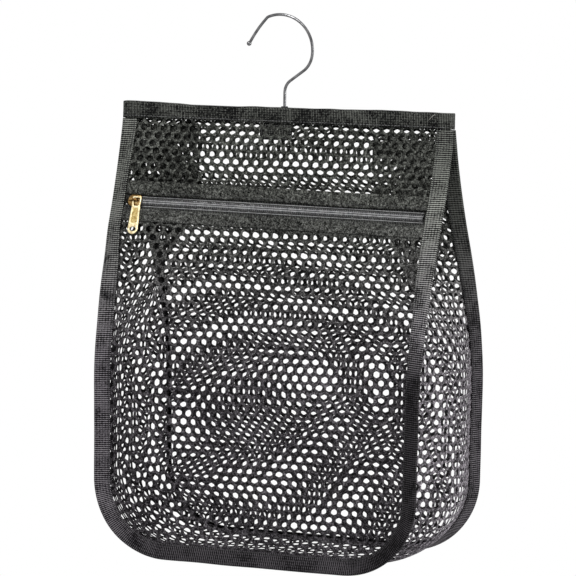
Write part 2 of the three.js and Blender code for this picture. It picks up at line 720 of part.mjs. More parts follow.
// The puller hangs with its ring round the bridge's right leg. Its pivot is at x = 0, z = 0
function pullerPlate() {
  const top = ringInner + ringWall;
  const shape = new THREE.Shape();
  shape.moveTo(-pullerHeadHalf, top - ringWall);
  shape.lineTo(-pullerHeadHalf, -ringInner);
  shape.lineTo(-pullerWaistHalf, -ringOpening);
  shape.lineTo(-pullerFootHalf, -pullerReach + pullerFootHalf);
  shape.absarc(0, -pullerReach + pullerFootHalf, pullerFootHalf, Math.PI, 2 * Math.PI, false);
  shape.lineTo(pullerWaistHalf, -ringOpening);
  shape.lineTo(pullerHeadHalf, -ringInner);
  shape.lineTo(pullerHeadHalf, top - ringWall);
  shape.lineTo(pullerHeadHalf - ringWall, top);
  shape.lineTo(-pullerHeadHalf + ringWall, top);
  shape.closePath();
  const window = new THREE.Path();
  const windowHalf = pullerHeadHalf - ringWall;
  window.moveTo(-windowHalf, ringInner);
  window.lineTo(windowHalf, ringInner);
  window.lineTo(windowHalf, -ringInner);
  window.lineTo(pullerWaistHalf - ringWall, -ringOpening);
  window.lineTo(-pullerWaistHalf + ringWall, -ringOpening);
  window.lineTo(-windowHalf, -ringInner);
  window.closePath();
  const footHole = new THREE.Path();
  footHole.absellipse(0, -footHoleDrop, footHoleHalfWidth, footHoleHalfHeight, 0, 2 * Math.PI, true, 0);
  shape.holes.push(window, footHole);
  const plate = toSolid(plateBetween(shape, -pullerThickness / 2, pullerThickness / 2));
  const recess = new THREE.Shape();
  recess.moveTo(-pullerWaistHalf + rimWall, -recessStart);
  recess.lineTo(-pullerWaistHalf + rimWall, -recessEnd);
  recess.lineTo(pullerWaistHalf - rimWall, -recessEnd);
  recess.lineTo(pullerWaistHalf - rimWall, -recessStart);
  const face = pullerThickness / 2;
  const pockets = toSolid(plateBetween(recess, -face - overrun, -face + recessDepth))
    .add(toSolid(plateBetween(recess, face - recessDepth, face + overrun)));
  return toGeometry(plate.subtract(pockets));
}

const blackMesh = material(0x26262b, 0.9);
const blackTape = material(0x2c2c2f, 0.85);
const zipBlack = material(0x1d1d20, 0.6);
const agedBrass = material(0xb08d4c, 0.35, 0.9);
const darkSteel = material(0x55565a, 0.3, 0.9);
const barPlastic = material(0x1a1a1a, 0.5);

const hookParts = new THREE.Group();
const bagTop = wireRadius - hookRadius - hookCentre.y;
hookParts.position.set(-hookCentre.x, 0, bagTop);
const washerDrop = barFoot + clearance;
const nutDrop = washerDrop + washerThickness + clearance;
hookParts.add(
  piece('hook', hookWire(), darkSteel),
  piece('hook_washer', stemCollar(washerRadius, washerDrop, washerThickness, roundSides), darkSteel),
  piece('hook_nut', stemCollar(nutAcrossFlats / Math.sqrt(3), nutDrop, nutHeight, 6), darkSteel),
);

const zip = new THREE.Group();
zip.position.copy(zipOrigin);
zip.rotation.set(-zipLean, Math.atan2(zipFall, zipHalf), 0);
const slider = piece('slider', sliderBody(), agedBrass);
slider.position.y = tapeCentre;
const puller = piece('puller', pullerPlate(), agedBrass);
puller.position.set(pivotX, tapeCentre + barBack + clearance + pullerThickness / 2, 0);
puller.rotation.y = -pullerRest;
zip.add(
  piece('upper_zip_band', zipBand(upperBandFoot, upperBandHeight, -1), blackTape),
  piece('lower_zip_band', zipBand(lowerBandDrop, lowerBandHeight, 1), blackTape),
  piece('upper_zip_tape', zipTapeStrip(1), zipBlack),
  piece('lower_zip_tape', zipTapeStrip(-1), zipBlack),
  piece('upper_teeth', teethRow(1), zipBlack),
  piece('lower_teeth', teethRow(-1), zipBlack),
  slider,
  puller,
);

const bag = new THREE.Group();
bag.position.set(stemSide - hookCentre.x, 0, bagTop);
bag.add(
  piece('hanger_bar', hangerBar(), barPlastic),
  piece('top_binding', topBinding(), blackTape),
  piece('hook_patch', hookPatch(), blackTape),
  piece('front_upper_panel', facePanel(front, edges.front, 0, upperPanelRows, openAbove), blackMesh),
  piece('front_lower_panel', facePanel(front, edges.front, lowerPanelFirst, lastRow, openBelow), blackMesh),
  piece('back_panel', facePanel(back, edges.back, 0, lastRow, openInBack), blackMesh),
  piece('gusset', gussetStrip(), blackMesh),
  piece('front_edge_binding', edgeBinding(edges.front), blackTape),
  piece('back_edge_binding', edgeBinding(edges.back), blackTape),
  zip,
);

const pegBag = new THREE.Group();
pegBag.add(hookParts, bag);

export default pegBag;
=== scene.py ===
"""Looks of the knitted mesh peg bag: net, bindings, zip, slider, puller and wire hook. Run inside Blender."""

import math

import bmesh
import bpy
import numpy as np
from mathutils import Matrix, Vector


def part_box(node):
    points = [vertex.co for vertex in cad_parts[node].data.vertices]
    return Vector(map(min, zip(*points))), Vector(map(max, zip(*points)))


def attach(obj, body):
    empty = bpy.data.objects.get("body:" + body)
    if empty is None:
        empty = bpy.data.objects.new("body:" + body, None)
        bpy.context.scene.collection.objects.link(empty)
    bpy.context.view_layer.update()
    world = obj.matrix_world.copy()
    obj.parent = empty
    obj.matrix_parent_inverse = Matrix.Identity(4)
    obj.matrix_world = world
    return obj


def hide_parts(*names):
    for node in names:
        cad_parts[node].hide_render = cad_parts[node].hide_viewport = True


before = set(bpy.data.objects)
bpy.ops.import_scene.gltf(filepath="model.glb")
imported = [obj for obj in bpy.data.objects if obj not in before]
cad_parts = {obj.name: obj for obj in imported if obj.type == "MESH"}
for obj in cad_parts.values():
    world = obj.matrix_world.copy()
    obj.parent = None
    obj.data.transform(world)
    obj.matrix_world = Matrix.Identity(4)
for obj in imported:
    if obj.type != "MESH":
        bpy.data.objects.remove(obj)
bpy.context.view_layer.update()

MM = 0.001
TURN = 2 * math.pi

# ---- sizes of the bag in millimetres, as in the part's source ----
BAG_WIDTH, BAG_HEIGHT = 290.0, 365.0
SIDE_TAPER, HEM_TAPER, HEM_TAPER_DROP = 5.0, 1.2, 30.0
CORNER_RADIUS = 62.0
SWELL_DROP, FULL_DEPTH_DROP, SWELL_SHARE = 6.0, 230.0, 0.8
RISE_SHARE, CROWN_SHARE = 1.6, 2.2
FOLD_DEPTH, FOLD_DROP, OPEN_DROP = 57.0, 50.0, 215.0
GUSSET_BULGE, GUSSET_FOOT_BULGE = 14.0, 8.5
ZIP_ROOM_INWARD = (0.2, 0.4, 2.2)
ZIP_ROOM_BACK = (1.1, 4.4, 6.2)
ZIP_ROOM_TOP, ZIP_ROOM_FADE_IN = 46.67, 16.5
ZIP_ROOM_FOOT, ZIP_ROOM_FADE_OUT = 118.7, 20.5
SEAM_BENDS = (0.03, 0.08, 0.15)
CLOTH, TAPE, GAP = 0.8, 0.7, 0.3
BINDING_WIDTH = 13.0
ZIP_HEAD_TURN, ZIP_FOOT_TURN, ZIP_TURN_DROP = math.radians(20), math.radians(27), 165.0
ZIP_FLAT_DROP, ZIP_FLAT_FOOT = 63.2, 98.2
LAYER_PITCH = CLOTH + GAP
CHANNEL_INNER = LAYER_PITCH / 2 + CLOTH / 2 + GAP
CHANNEL_OUTER = CHANNEL_INNER + TAPE
BAR_THICKNESS = 5.0
HEM_DEPTH = BAR_THICKNESS / 2 + GAP + CLOTH / 2 - LAYER_PITCH / 2
HEM_INNER = HEM_DEPTH + CHANNEL_INNER
HEM_OUTER = HEM_INNER + TAPE
PANEL_TOP = TAPE + GAP
GUSSET_TOP = 10.3
SIDE_TOP = BINDING_WIDTH + 2 * GAP
MARGIN_EDGE = -(TAPE + GAP)
PANEL_SEAM = -(BINDING_WIDTH + GAP)
GUSSET_SEAM = PANEL_SEAM - CLOTH / 2
CORNER_X = BAG_WIDTH / 2 - SIDE_TAPER - CORNER_RADIUS
CORNER_DROP = BAG_HEIGHT - CORNER_RADIUS
TOP_LENGTH = 286.8

UPPER_BAND_DROP, UPPER_BAND_HEIGHT = 64.7, 10.6
LOWER_BAND_DROP, LOWER_BAND_HEIGHT = 86.5, 9.9
CHAIN_DROP, ZIP_HALF = 80.4, 129.0417
ZIP_REACH = ZIP_HALF + 2.4
TAPE_WIDTH, SPINE_OUTER = 12.0, 2.8
TOOTH_PITCH, TOOTH_REACH = 1.8, 1.2
BAND_CENTRE = -2.05

BAG_AT = np.array([6.1247, 0.0, -72.833])
HOOK_AT = np.array([4.5247, 0.0, -72.833])
ZIP_AT = np.array([6.1247, -22.3155, -153.7728])
ZIP_AXES = np.array([[0.999957, -0.003249, -0.008713], [0.0, 0.936961, -0.349434],
                     [0.009299, 0.349419, 0.936920]])
PULLER_AT = np.array([-113.6118, -26.1428, -151.1571])
PULLER_AXES = np.array([[0.999858, 0.005898, 0.015816], [0.0, 0.936961, -0.349435],
                        [-0.016880, 0.349385, 0.936827]])

FRONT = {"way": -1.0, "depth": 59.6, "turn": math.radians(27), "bulge": 24.0, "bulge_top": 106.0}
BACK = {"way": 1.0, "depth": 83.0, "turn": math.radians(67), "bulge": 20.0, "bulge_top": 60.0}


# ---- small helpers ----
def smooth(t):
    t = np.clip(t, 0.0, 1.0)
    return t * t * (3 - 2 * t)


def unit(v):
    return v / np.maximum(np.linalg.norm(v, axis=-1, keepdims=True), 1e-12)


def arc_along(points):
    """The length along a line up to each of its points."""
    return np.concatenate([[0], np.cumsum(np.linalg.norm(np.diff(points, axis=0), axis=1))])


def read_off(where, known, values):
    """Each column of values, read off at new places."""
    return np.stack([np.interp(where, known, column) for column in values.T], -1)


def circle(count):
    return TURN * np.arange(count) / count


def spread(*parts):
    """Coordinates that fit one another, as points."""
    return np.stack(np.broadcast_arrays(*parts), -1)


def ripple(u, v, seed, scale):
    """A smooth random height from a few crossed waves, about -1 to 1, with features of about scale mm."""
    rng = np.random.default_rng(seed)
    total = 0.0
    for _ in range(6):
        angle, phase = rng.uniform(0, TURN, 2)
        length = scale * rng.uniform(0.7, 1.8)
        total = total + np.sin((u * math.cos(angle) + v * math.sin(angle)) * TURN / length + phase)
    return total / 3.0


def in_zip(points):
    """Points given in the zip's own axes, turned into the row frame."""
    return ZIP_AT + np.asarray(points, float) @ ZIP_AXES


def in_puller(points):
    return PULLER_AT + np.asarray(points, float) @ PULLER_AXES


# ---- meshes ----
def add_object(name, data):
    made = bpy.data.objects.new(name, data)
    bpy.context.scene.collection.objects.link(made)
    return made


def mesh_object(name, points, faces, uv=None):
    """A mesh from points in row-frame millimetres. uv gives their places on the cloth, in millimetres too."""
    mesh = bpy.data.meshes.new(name)
    mesh.from_pydata((np.asarray(points, float) * MM).tolist(), [], [list(map(int, f)) for f in faces])
    uv = np.zeros((len(points), 2)) if uv is None else np.asarray(uv, float)
    layer = mesh.uv_layers.new(name="cloth")
    index = np.empty(len(mesh.loops), np.int32)
    mesh.loops.foreach_get("vertex_index", index)
    layer.data.foreach_set("uv", (uv[index] * 0.01).astype(np.float32).ravel())
    mesh.polygons.foreach_set("use_smooth", np.ones(len(mesh.polygons), bool))
    mesh.update()
    return add_object(name, mesh)


def settle(made, ends=0, sharp=None):
    """Turns the faces outwards. ends is the number of points in a loft's row, whose two ends are closed, and
    sharp the angle above which edges stay sharp."""
    work = bmesh.new()
    work.from_mesh(made.data)
    if ends:
        verts = list(work.verts)
        for ring in (verts[:ends], verts[-ends:]):
            work.faces.new(ring)
    else:
        bmesh.ops.remove_doubles(work, verts=work.verts, dist=1e-7)
    bmesh.ops.recalc_face_normals(work, faces=work.faces)
    if sharp:
        for edge in work.edges:
            edge.smooth = len(edge.link_faces) != 2 or edge.calc_face_angle(0) <= math.radians(sharp)
        for face in work.faces:
            face.smooth = True
    work.to_mesh(made.data)
    work.free()


def finish_piece(made, body, slot, material, *nodes):
    made.data.materials.clear()
    made.data.materials.append(material)
    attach(made, body)
    if nodes:
        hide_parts(*nodes)


def loft_grid(rows, closed_section=True):
    """Faces over rows of matching points."""
    count_rows, count = rows.shape[:2]
    i = np.arange(count_rows - 1)[:, None]
    j = np.arange(count if closed_section else count - 1)[None]
    a = i * count + j
    b = i * count + (j + 1) % count
    return np.stack([a, b, b + count, a + count], -1).reshape(-1, 4)


def closed_loft(rows):
    """Points and faces over rows of matching points, closed at both ends."""
    count = rows.shape[1]
    points = rows.reshape(-1, 3)
    return points, [*loft_grid(rows), range(count)[::-1], range(len(points) - count, len(points))]


def tube(path, radius, sides=8, flat=1.0, up=(0, 1, 0)):
    """Points and faces of a round tube along a path, closed at both ends."""
    path = np.asarray(path, float)
    tangent = unit(np.gradient(path, axis=0))
    side = unit(np.cross(tangent, np.asarray(up, float)))
    over = np.cross(side, tangent)
    radius = np.broadcast_to(np.asarray(radius, float), (len(path),))
    angle = circle(sides)
    return closed_loft(path[:, None] + side[:, None] * (np.cos(angle) * radius[:, None])[..., None]
                       + over[:, None] * (np.sin(angle) * (radius * flat)[:, None])[..., None])


def gather(parts):
    """Several (points, faces) as one."""
    points, faces, base = [], [], 0
    for p, f in parts:
        points.append(p)
        faces += [tuple(base + k for k in face) for face in f]
        base += len(p)
    return np.concatenate(points), faces


def add_parts(name, parts, body, slot, material, *nodes, sharp=None):
    """One piece from several (points, faces)."""
    made = mesh_object(name, *gather(parts))
    if sharp:
        settle(made, sharp=sharp)
    finish_piece(made, body, slot, material, *nodes)


# ---- the bag's edges ----
def swell(drop):
    return smooth((drop - SWELL_DROP) / (FULL_DEPTH_DROP - SWELL_DROP)) ** SWELL_SHARE


def half_width(drop):
    return (BAG_WIDTH / 2 - SIDE_TAPER * smooth(drop / CORNER_DROP)
            - HEM_TAPER * smooth(1 - drop / HEM_TAPER_DROP))


def zip_push(drop):
    share = np.clip((drop - ZIP_FLAT_DROP) / (ZIP_FLAT_FOOT - ZIP_FLAT_DROP), 0, 1)
    above = smooth((drop - SIDE_TOP) / (ZIP_FLAT_DROP - SIDE_TOP))
    below = 1 - smooth((drop - ZIP_FLAT_FOOT) / (ZIP_TURN_DROP - ZIP_FLAT_FOOT))
    return (ZIP_HEAD_TURN + (ZIP_FOOT_TURN - ZIP_HEAD_TURN) * share) * above * below


def stations(face, x, drop, out_x, out_z):
    """The edge's points, the way out of the face there, and that way before the face turns."""
    turn = face["turn"] * swell(drop) - (zip_push(drop) if face is FRONT else 0.0)
    out = np.stack([out_x * np.cos(turn), face["way"] * np.sin(turn), out_z * np.cos(turn)], -1)
    edge = np.stack([x, face["way"] * np.hypot(HEM_DEPTH, face["depth"] * swell(drop)), -drop], -1)
    return edge, unit(out), np.stack([out_x, 0 * out_x, out_z], -1)


def ring_of(face):
    """The edge of a face from the top right corner down, round the foot and up to the top left corner."""
    drops = np.unique(np.concatenate([
        np.linspace(PANEL_TOP, SIDE_TOP, 6), np.linspace(SIDE_TOP, ZIP_FLAT_DROP, 33),
        np.linspace(ZIP_FLAT_DROP, ZIP_FLAT_FOOT, 23), np.linspace(ZIP_FLAT_FOOT, CORNER_DROP, 136)]))
    edge, out, plain = stations(face, half_width(drops), drops, np.ones_like(drops), np.zeros_like(drops))
    # beside the zip the edge is straight
    ends = np.array([ZIP_FLAT_DROP, ZIP_FLAT_FOOT])
    flat = (drops > ends[0]) & (drops < ends[1])
    end_edge, end_out, _ = stations(face, half_width(ends), ends, np.ones(2), np.zeros(2))
    share = ((drops[flat] - ends[0]) / (ends[1] - ends[0]))[:, None]
    edge[flat] = end_edge[0] + (end_edge[1] - end_edge[0]) * share
    out[flat] = unit(end_out[0] + (end_out[1] - end_out[0]) * share)
    angle = np.linspace(0, math.pi / 2, 64)[1:]
    corner = stations(face, CORNER_X + CORNER_RADIUS * np.cos(angle),
                      CORNER_DROP + CORNER_RADIUS * np.sin(angle), np.cos(angle), -np.sin(angle))
    x = np.linspace(CORNER_X, -CORNER_X, 104)[1:-1]
    foot = stations(face, x, np.full_like(x, BAG_HEIGHT), 0 * x, -np.ones_like(x))
    right = [np.vstack([a, b]) for a, b in zip((edge, out, plain), corner)]
    left = [(a * (-1, 1, 1))[::-1] for a in right]
    edge, out, plain = [np.vstack(parts) for parts in zip(right, foot, left)]
    normal = unit(np.cross(np.gradient(edge, axis=0), out))
    normal *= np.sign(normal[:, 1:2] * face["way"])
    return {"edge": edge, "out": out, "plain": plain, "normal": normal, "rows": len(right[0])}


RINGS = {"front": ring_of(FRONT), "back": ring_of(BACK)}


def at(ring, a, b):
    return ring["edge"] + ring["out"] * a + ring["normal"] * b


def below_drop(ring, drop):
    """A ring without what lies above a drop from the top."""
    first = int(np.argmin(np.abs(-ring["edge"][: ring["rows"], 2] - drop)))
    keep = slice(first, len(ring["edge"]) - first)
    return {key: ring[key][keep] for key in ("edge", "out", "normal", "plain")}


class FaceSurface:
    """A face's cloth: a point for each place (u across, v down along the cloth at the middle)."""

    def __init__(self, face, ring, first_drop):
        self.face = face
        rows = ring["rows"]
        seam = at(ring, PANEL_SEAM, LAYER_PITCH / 2)[:rows]
        order = np.argsort(-seam[:, 2])
        self.z, self.seam, self.out = -seam[order, 2], seam[order], ring["out"][:rows][order]
        self.foot = self.z[-1]
        self.drops = np.linspace(first_drop, self.foot + 12.0, 700)
        self.arc = arc_along(self.point(np.zeros_like(self.drops), self.drops))

    def at_cloth(self, u, v):
        return self.point(u, np.interp(v, self.arc, self.drops))

    def seam_x(self, drop):
        return np.interp(np.minimum(drop, self.foot), self.z, self.seam[:, 0])

    def point(self, x, drop):
        face = self.face
        inner = np.minimum(drop, self.foot)
        seam_x, seam_y = self.seam_x(drop), np.interp(inner, self.z, self.seam[:, 1])
        share = np.clip(np.abs(x) / seam_x, 0, 1)
        rise = np.sin(math.pi * np.clip((inner - face["bulge_top"]) / (self.foot - face["bulge_top"]), 0, 1))
        y = seam_y + face["way"] * face["bulge"] * (1 - share ** CROWN_SHARE) * np.abs(rise) ** RISE_SHARE
        # past the seam the cloth goes on in the flange
        over = np.maximum(np.abs(x) - seam_x, 0.0)
        below = np.maximum(drop - self.foot, 0.0)
        out = read_off(inner, self.z, self.out)
        flat = np.maximum(np.hypot(out[:, 0], out[:, 2]), 0.2)
        past = (over * np.abs(out[:, 0]) + below * np.abs(out[:, 2])) / flat
        return np.stack([x, y + past * out[:, 1] / flat, -drop], -1)


def surface_frame(place, u, v):
    """Points and outward normals of a mapping from the cloth to space."""
    e = 0.4
    along_u = place(u + e, v) - place(u - e, v)
    along_v = place(u, v + e) - place(u, v - e)
    return place(u, v), unit(np.cross(along_u, along_v))


GUSSET_COLUMNS = 97


class GussetSurface:
    """The gusset strip: s runs across from the front seam to the back seam, t down along the seam."""

    def __init__(self):
        front, back = (below_drop(RINGS[key], GUSSET_TOP) for key in ("front", "back"))
        seam_a, seam_b = (at(ring, GUSSET_SEAM, -LAYER_PITCH / 2) for ring in (front, back))
        self.edge_a, self.edge_b = (at(ring, MARGIN_EDGE, -LAYER_PITCH / 2) for ring in (front, back))
        self.margin = MARGIN_EDGE - GUSSET_SEAM
        chord = seam_b - seam_a
        drop, plain = -front["edge"][:, 2], front["plain"]
        opened = smooth((drop - FOLD_DROP) / (OPEN_DROP - FOLD_DROP))[:, None]
        low = -plain[:, 2:3]
        stand = -FOLD_DEPTH + (GUSSET_BULGE + (GUSSET_FOOT_BULGE - GUSSET_BULGE) * low + FOLD_DEPTH) * opened

        def place(share):
            fold = 1 - np.sqrt((2 * share - 1) ** 2 + 0.0004)
            profile = fold + (math.sin(math.pi * share) - fold) * opened
            return seam_a + chord * share + plain * stand * profile

        # beside the zip the strip steps back to leave room for it
        beside = (np.clip((drop - ZIP_ROOM_TOP) / ZIP_ROOM_FADE_IN, 0, 1)
                  * np.clip((ZIP_ROOM_FOOT - drop) / ZIP_ROOM_FADE_OUT, 0, 1))[:, None]
        points = [seam_a]
        for share, inward, backward in zip(SEAM_BENDS, ZIP_ROOM_INWARD, ZIP_ROOM_BACK):
            stepped = seam_a - plain * inward + unit(chord) * backward
            points.append(place(share) + (stepped - place(share)) * beside)
        last_bend, free_from = SEAM_BENDS[-1], 2 * SEAM_BENDS[-1]
        for low_share, high_share, count in ((0.2, 0.46, 9), (0.47, 0.53, 7), (0.54, 0.97, 14)):
            for share in np.linspace(low_share, high_share, count):
                free = place(float(share))
                if share < free_from:
                    held = points[3] + (place(free_from) - points[3]) * (share - last_bend) / last_bend
                    free = free + (held - free) * beside
                points.append(free)
        points.append(seam_b)
        lines = np.stack(points, 1)
        arcs = [arc_along(line) for line in lines]
        self.width = float(np.mean([arc[-1] for arc in arcs]))
        shares = np.linspace(0, 1, GUSSET_COLUMNS)
        self.grid = np.stack([read_off(shares, arc / arc[-1], line) for arc, line in zip(arcs, lines)])
        self.arc = arc_along(self.grid[:, 0])
        self.length = float(self.arc[-1])

    def at_cloth(self, s, t):
        row = np.interp(t, self.arc, np.arange(len(self.arc)))
        i = np.clip(row.astype(int), 0, len(self.arc) - 2)
        fi = (row - i)[:, None]
        column = np.clip(s / self.width, 0, 1) * (GUSSET_COLUMNS - 1)
        j = np.clip(column.astype(int), 0, GUSSET_COLUMNS - 2)
        fj = (column - j)[:, None]
        g = self.grid
        inside = ((g[i, j] * (1 - fj) + g[i, j + 1] * fj) * (1 - fi)
                  + (g[i + 1, j] * (1 - fj) + g[i + 1, j + 1] * fj) * fi)
        made = inside
        for edge, over in ((self.edge_a, -s), (self.edge_b, s - self.width)):
            end = edge[i] * (1 - fi) + edge[i + 1] * fi
            made = made + (end - inside) * np.clip(over / self.margin, 0, 1)[:, None]
        return made


# ---- the net ----
HOLE_RADIUS = 3.0
STRAND_EDGE = 0.36
SIDES = 12
# the order of this sum decides how shared border points round, so it stays
RING_ANGLES = math.pi / SIDES + np.arange(SIDES) * 2 * math.pi / SIDES - math.pi / SIDES + math.pi / 6


def net_mesh(name, cells, pitch, row_pitch, place, seed, away, closed=None):
    """A knitted net with a rounded hole in each six-sided cell, laid on a surface.

    cells are (column, row) pairs. place maps arrays of cloth places to points. away turns the outside over.
    closed gives how far a hole has closed up at a place, from 0 to 1."""
    rng = np.random.default_rng(seed)
    cells = np.asarray(cells)
    centre = np.stack([(cells[:, 0] + 0.5 * (cells[:, 1] % 2)) * pitch, cells[:, 1] * row_pitch], -1)
    stretch = row_pitch / (pitch * math.sqrt(3) / 2)
    corner = np.where(np.arange(SIDES) % 2 == 0, pitch / math.sqrt(3), pitch / 2)
    spokes = np.stack([np.cos(RING_ANGLES), np.sin(RING_ANGLES)], -1)
    border = centre[:, None] + spokes * corner[:, None] * (1, stretch)
    size = HOLE_RADIUS * (1 + 0.05 * rng.standard_normal((len(cells), 1)))
    if closed is not None:
        size = size * (1 - closed(centre[:, 0], centre[:, 1]))[:, None]
    lobes = (1 + 0.035 * np.cos(6 * (RING_ANGLES - math.pi / 6))
             + 0.03 * rng.standard_normal((len(cells), SIDES)))
    hole_shape = spokes * (size * lobes)[:, :, None] * (1, (1 + stretch) / 2)
    drift = 0.12 * rng.standard_normal((len(cells), 1, 2))
    hole = centre[:, None] + hole_shape + drift
    shoulder = centre[:, None] + hole_shape * (1 + STRAND_EDGE / HOLE_RADIUS) + drift
    keys, border_index = np.unique(np.round(border.reshape(-1, 2), 3), axis=0, return_inverse=True)
    border_index = border_index.reshape(len(cells), SIDES)
    flat = np.concatenate([keys, hole.reshape(-1, 2), shoulder.reshape(-1, 2)])
    u = flat[:, 0] + 0.35 * ripple(flat[:, 0], flat[:, 1], seed + 1, 60)
    v = flat[:, 1] + 0.35 * ripple(flat[:, 0], flat[:, 1], seed + 2, 60)
    points, normals = surface_frame(place, u, v)
    normals = normals * away
    top = 0.5 * CLOTH
    b, h, s = (slice(*ends) for ends in (
        (0, len(keys)), (len(keys), len(keys) + len(cells) * SIDES), (len(keys) + len(cells) * SIDES, None)))
    swollen = normals[b] * (top + 0.06 * rng.standard_normal(len(keys)))[:, None]
    raised = normals[s] * top * 0.86
    parts = [points[b] + swollen, points[b] - swollen, points[h], points[s] + raised, points[s] - raised]
    starts = np.cumsum([0] + [len(p) for p in parts])
    ring = np.arange(len(cells) * SIDES).reshape(len(cells), SIDES)
    faces = []
    for edge, rim, flip in ((starts[0], starts[3], away < 0), (starts[1], starts[4], away > 0)):
        for outer, inner in ((edge + border_index, rim + ring), (rim + ring, starts[2] + ring)):
            quads = [outer, np.roll(outer, -1, axis=1), np.roll(inner, -1, axis=1), inner]
            faces.append(np.stack(quads[::-1] if flip else quads, -1).reshape(-1, 4))
    uv = np.concatenate([flat[b], flat[b], flat[h], flat[s], flat[s]])
    return mesh_object(name, BAG_AT + np.concatenate(parts), np.concatenate(faces), uv)


def lattice(pitch, row_pitch, u_low, u_high, v_high, keep):
    """The (column, row) pairs of the cells that are kept."""
    return [(column, row) for row in range(-1, int(v_high / row_pitch) + 2)
            for column in range(int(u_low / pitch) - 2, int(u_high / pitch) + 2)
            if keep((column + 0.5 * (row % 2)) * pitch, row * row_pitch)]


NET_PITCH, GATHER_LENGTH, FLANGE = 8.67, 90.0, 11.0


def face_net(name, face, ring, first_drop, last_drop, row_pitch, seed, shift, sag, gathered=0.0):
    """The net of one face. gathered is how far its rows are drawn together towards the top."""
    surface = FaceSurface(face, ring, first_drop)
    outline = at(ring, MARGIN_EDGE, LAYER_PITCH / 2)[:ring["rows"]]
    order = np.argsort(-outline[:, 2])
    edge_z, edge_x = -outline[order, 2], outline[order, 0]
    radius = NET_PITCH / math.sqrt(3)
    last = min(last_drop, surface.foot + FLANGE * math.cos(face["turn"]))
    last_arc = float(np.interp(last, surface.drops, surface.arc))

    def drawn(v):
        return v - gathered * GATHER_LENGTH * (1 - np.exp(-v / GATHER_LENGTH))

    def keep(u, v):
        v = drawn(v)
        if v < radius * 0.75 or v > last_arc - radius * 0.75:
            return False
        low = min(float(np.interp(v, surface.arc, surface.drops)) + radius, BAG_HEIGHT - 1)
        return abs(u + shift) < float(np.interp(low, edge_z, edge_x)) - radius * 1.02

    def place(u, v):
        u = u + shift
        v = drawn(v + sag * (u / 130.0) * np.sin(math.pi * np.clip(v / last_arc, 0, 1)))
        made = surface.at_cloth(u, np.clip(v, 0, last_arc))
        drop = -made[:, 2]
        inside = smooth((surface.seam_x(drop) - np.abs(u)) / 26.0) * smooth((surface.foot - drop) / 26.0)
        inside = inside * smooth((drop - first_drop - 14) / 24.0) * smooth((last - 13 - drop) / 24.0)
        made[:, 1] += inside * (1.5 * ripple(u, v, seed + 5, 95) + 0.5 * ripple(u, v, seed + 6, 34))
        return made

    reach = last_arc + GATHER_LENGTH * gathered
    cells = lattice(NET_PITCH, row_pitch, -BAG_WIDTH / 2, BAG_WIDTH / 2, reach, keep)
    return net_mesh(name, cells, NET_PITCH, row_pitch, place, seed, face["way"])


def gusset_net():
    gusset = GussetSurface()
    pitch, row_pitch, slant = 8.4, 7.1, 0.045
    radius = pitch / math.sqrt(3)
    reach = gusset.margin - 1.0 - radius

    def keep(s, t):
        return -reach < s < gusset.width + reach and radius + 4 < t < gusset.length - radius - 4

    def place(s, t):
        return gusset.at_cloth(s, t + slant * (s - gusset.width / 2))

    def slack(s, t):
        # the folded part hangs slack, and its holes have closed up
        down = np.minimum(t, gusset.length - t)
        return 0.42 * (1 - smooth((down - 55) / 75.0)) * (0.75 + 0.25 * ripple(s, t, 59, 25))

    cells = lattice(pitch, row_pitch, -20, gusset.width + 20, gusset.length, keep)
    return net_mesh("gusset_net", cells, pitch, row_pitch, place, 53, -1.0, slack)


# ---- materials ----
class Shades:
    """Adds nodes to a node tree."""

    def __init__(self, tree):
        self.tree = tree

    def add(self, kind, inputs=None, **settings):
        """A new node's outputs. Each input is a socket to link or a plain value."""
        made = self.tree.nodes.new("ShaderNode" + kind)
        for key, value in settings.items():
            setattr(made, key, value)
        for key, value in (inputs or {}).items():
            if isinstance(value, bpy.types.NodeSocket):
                self.tree.links.new(value, made.inputs[key])
            else:
                made.inputs[key].default_value = value
        return made.outputs

    def math(self, operation, *values):
        return self.add("Math", dict(enumerate(values)), operation=operation)[0]

    def times(self, a, b):
        return self.math("MULTIPLY", a, b)

    def sum(self, start, *terms):
        """The start plus each (value, weight)."""
        for value, weight in terms:
            start = self.math("MULTIPLY_ADD", value, weight, start)
        return start

    def step(self, value, low, high):
        """A soft step from 0 at low to 1 at high."""
        inputs = {"Value": value, "From Min": low, "From Max": high}
        return self.add("MapRange", inputs, interpolation_type="SMOOTHSTEP")[0]

    def ramp(self, value, stops):
        """Colours over a value. The last stop may lie above 1, as the value is scaled to it."""
        top = max(1.0, stops[-1][0])
        if top > 1:
            value = self.times(value, 1 / top)
        made = self.tree.nodes.new("ShaderNodeValToRGB")
        elements = made.color_ramp.elements
        while len(elements) < len(stops):
            elements.new(0.5)
        for element, (position, colour) in zip(elements, stops):
            element.position = position / top
            element.color = (*colour, 1.0)
        self.tree.links.new(value, made.inputs[0])
        return made.outputs[0]


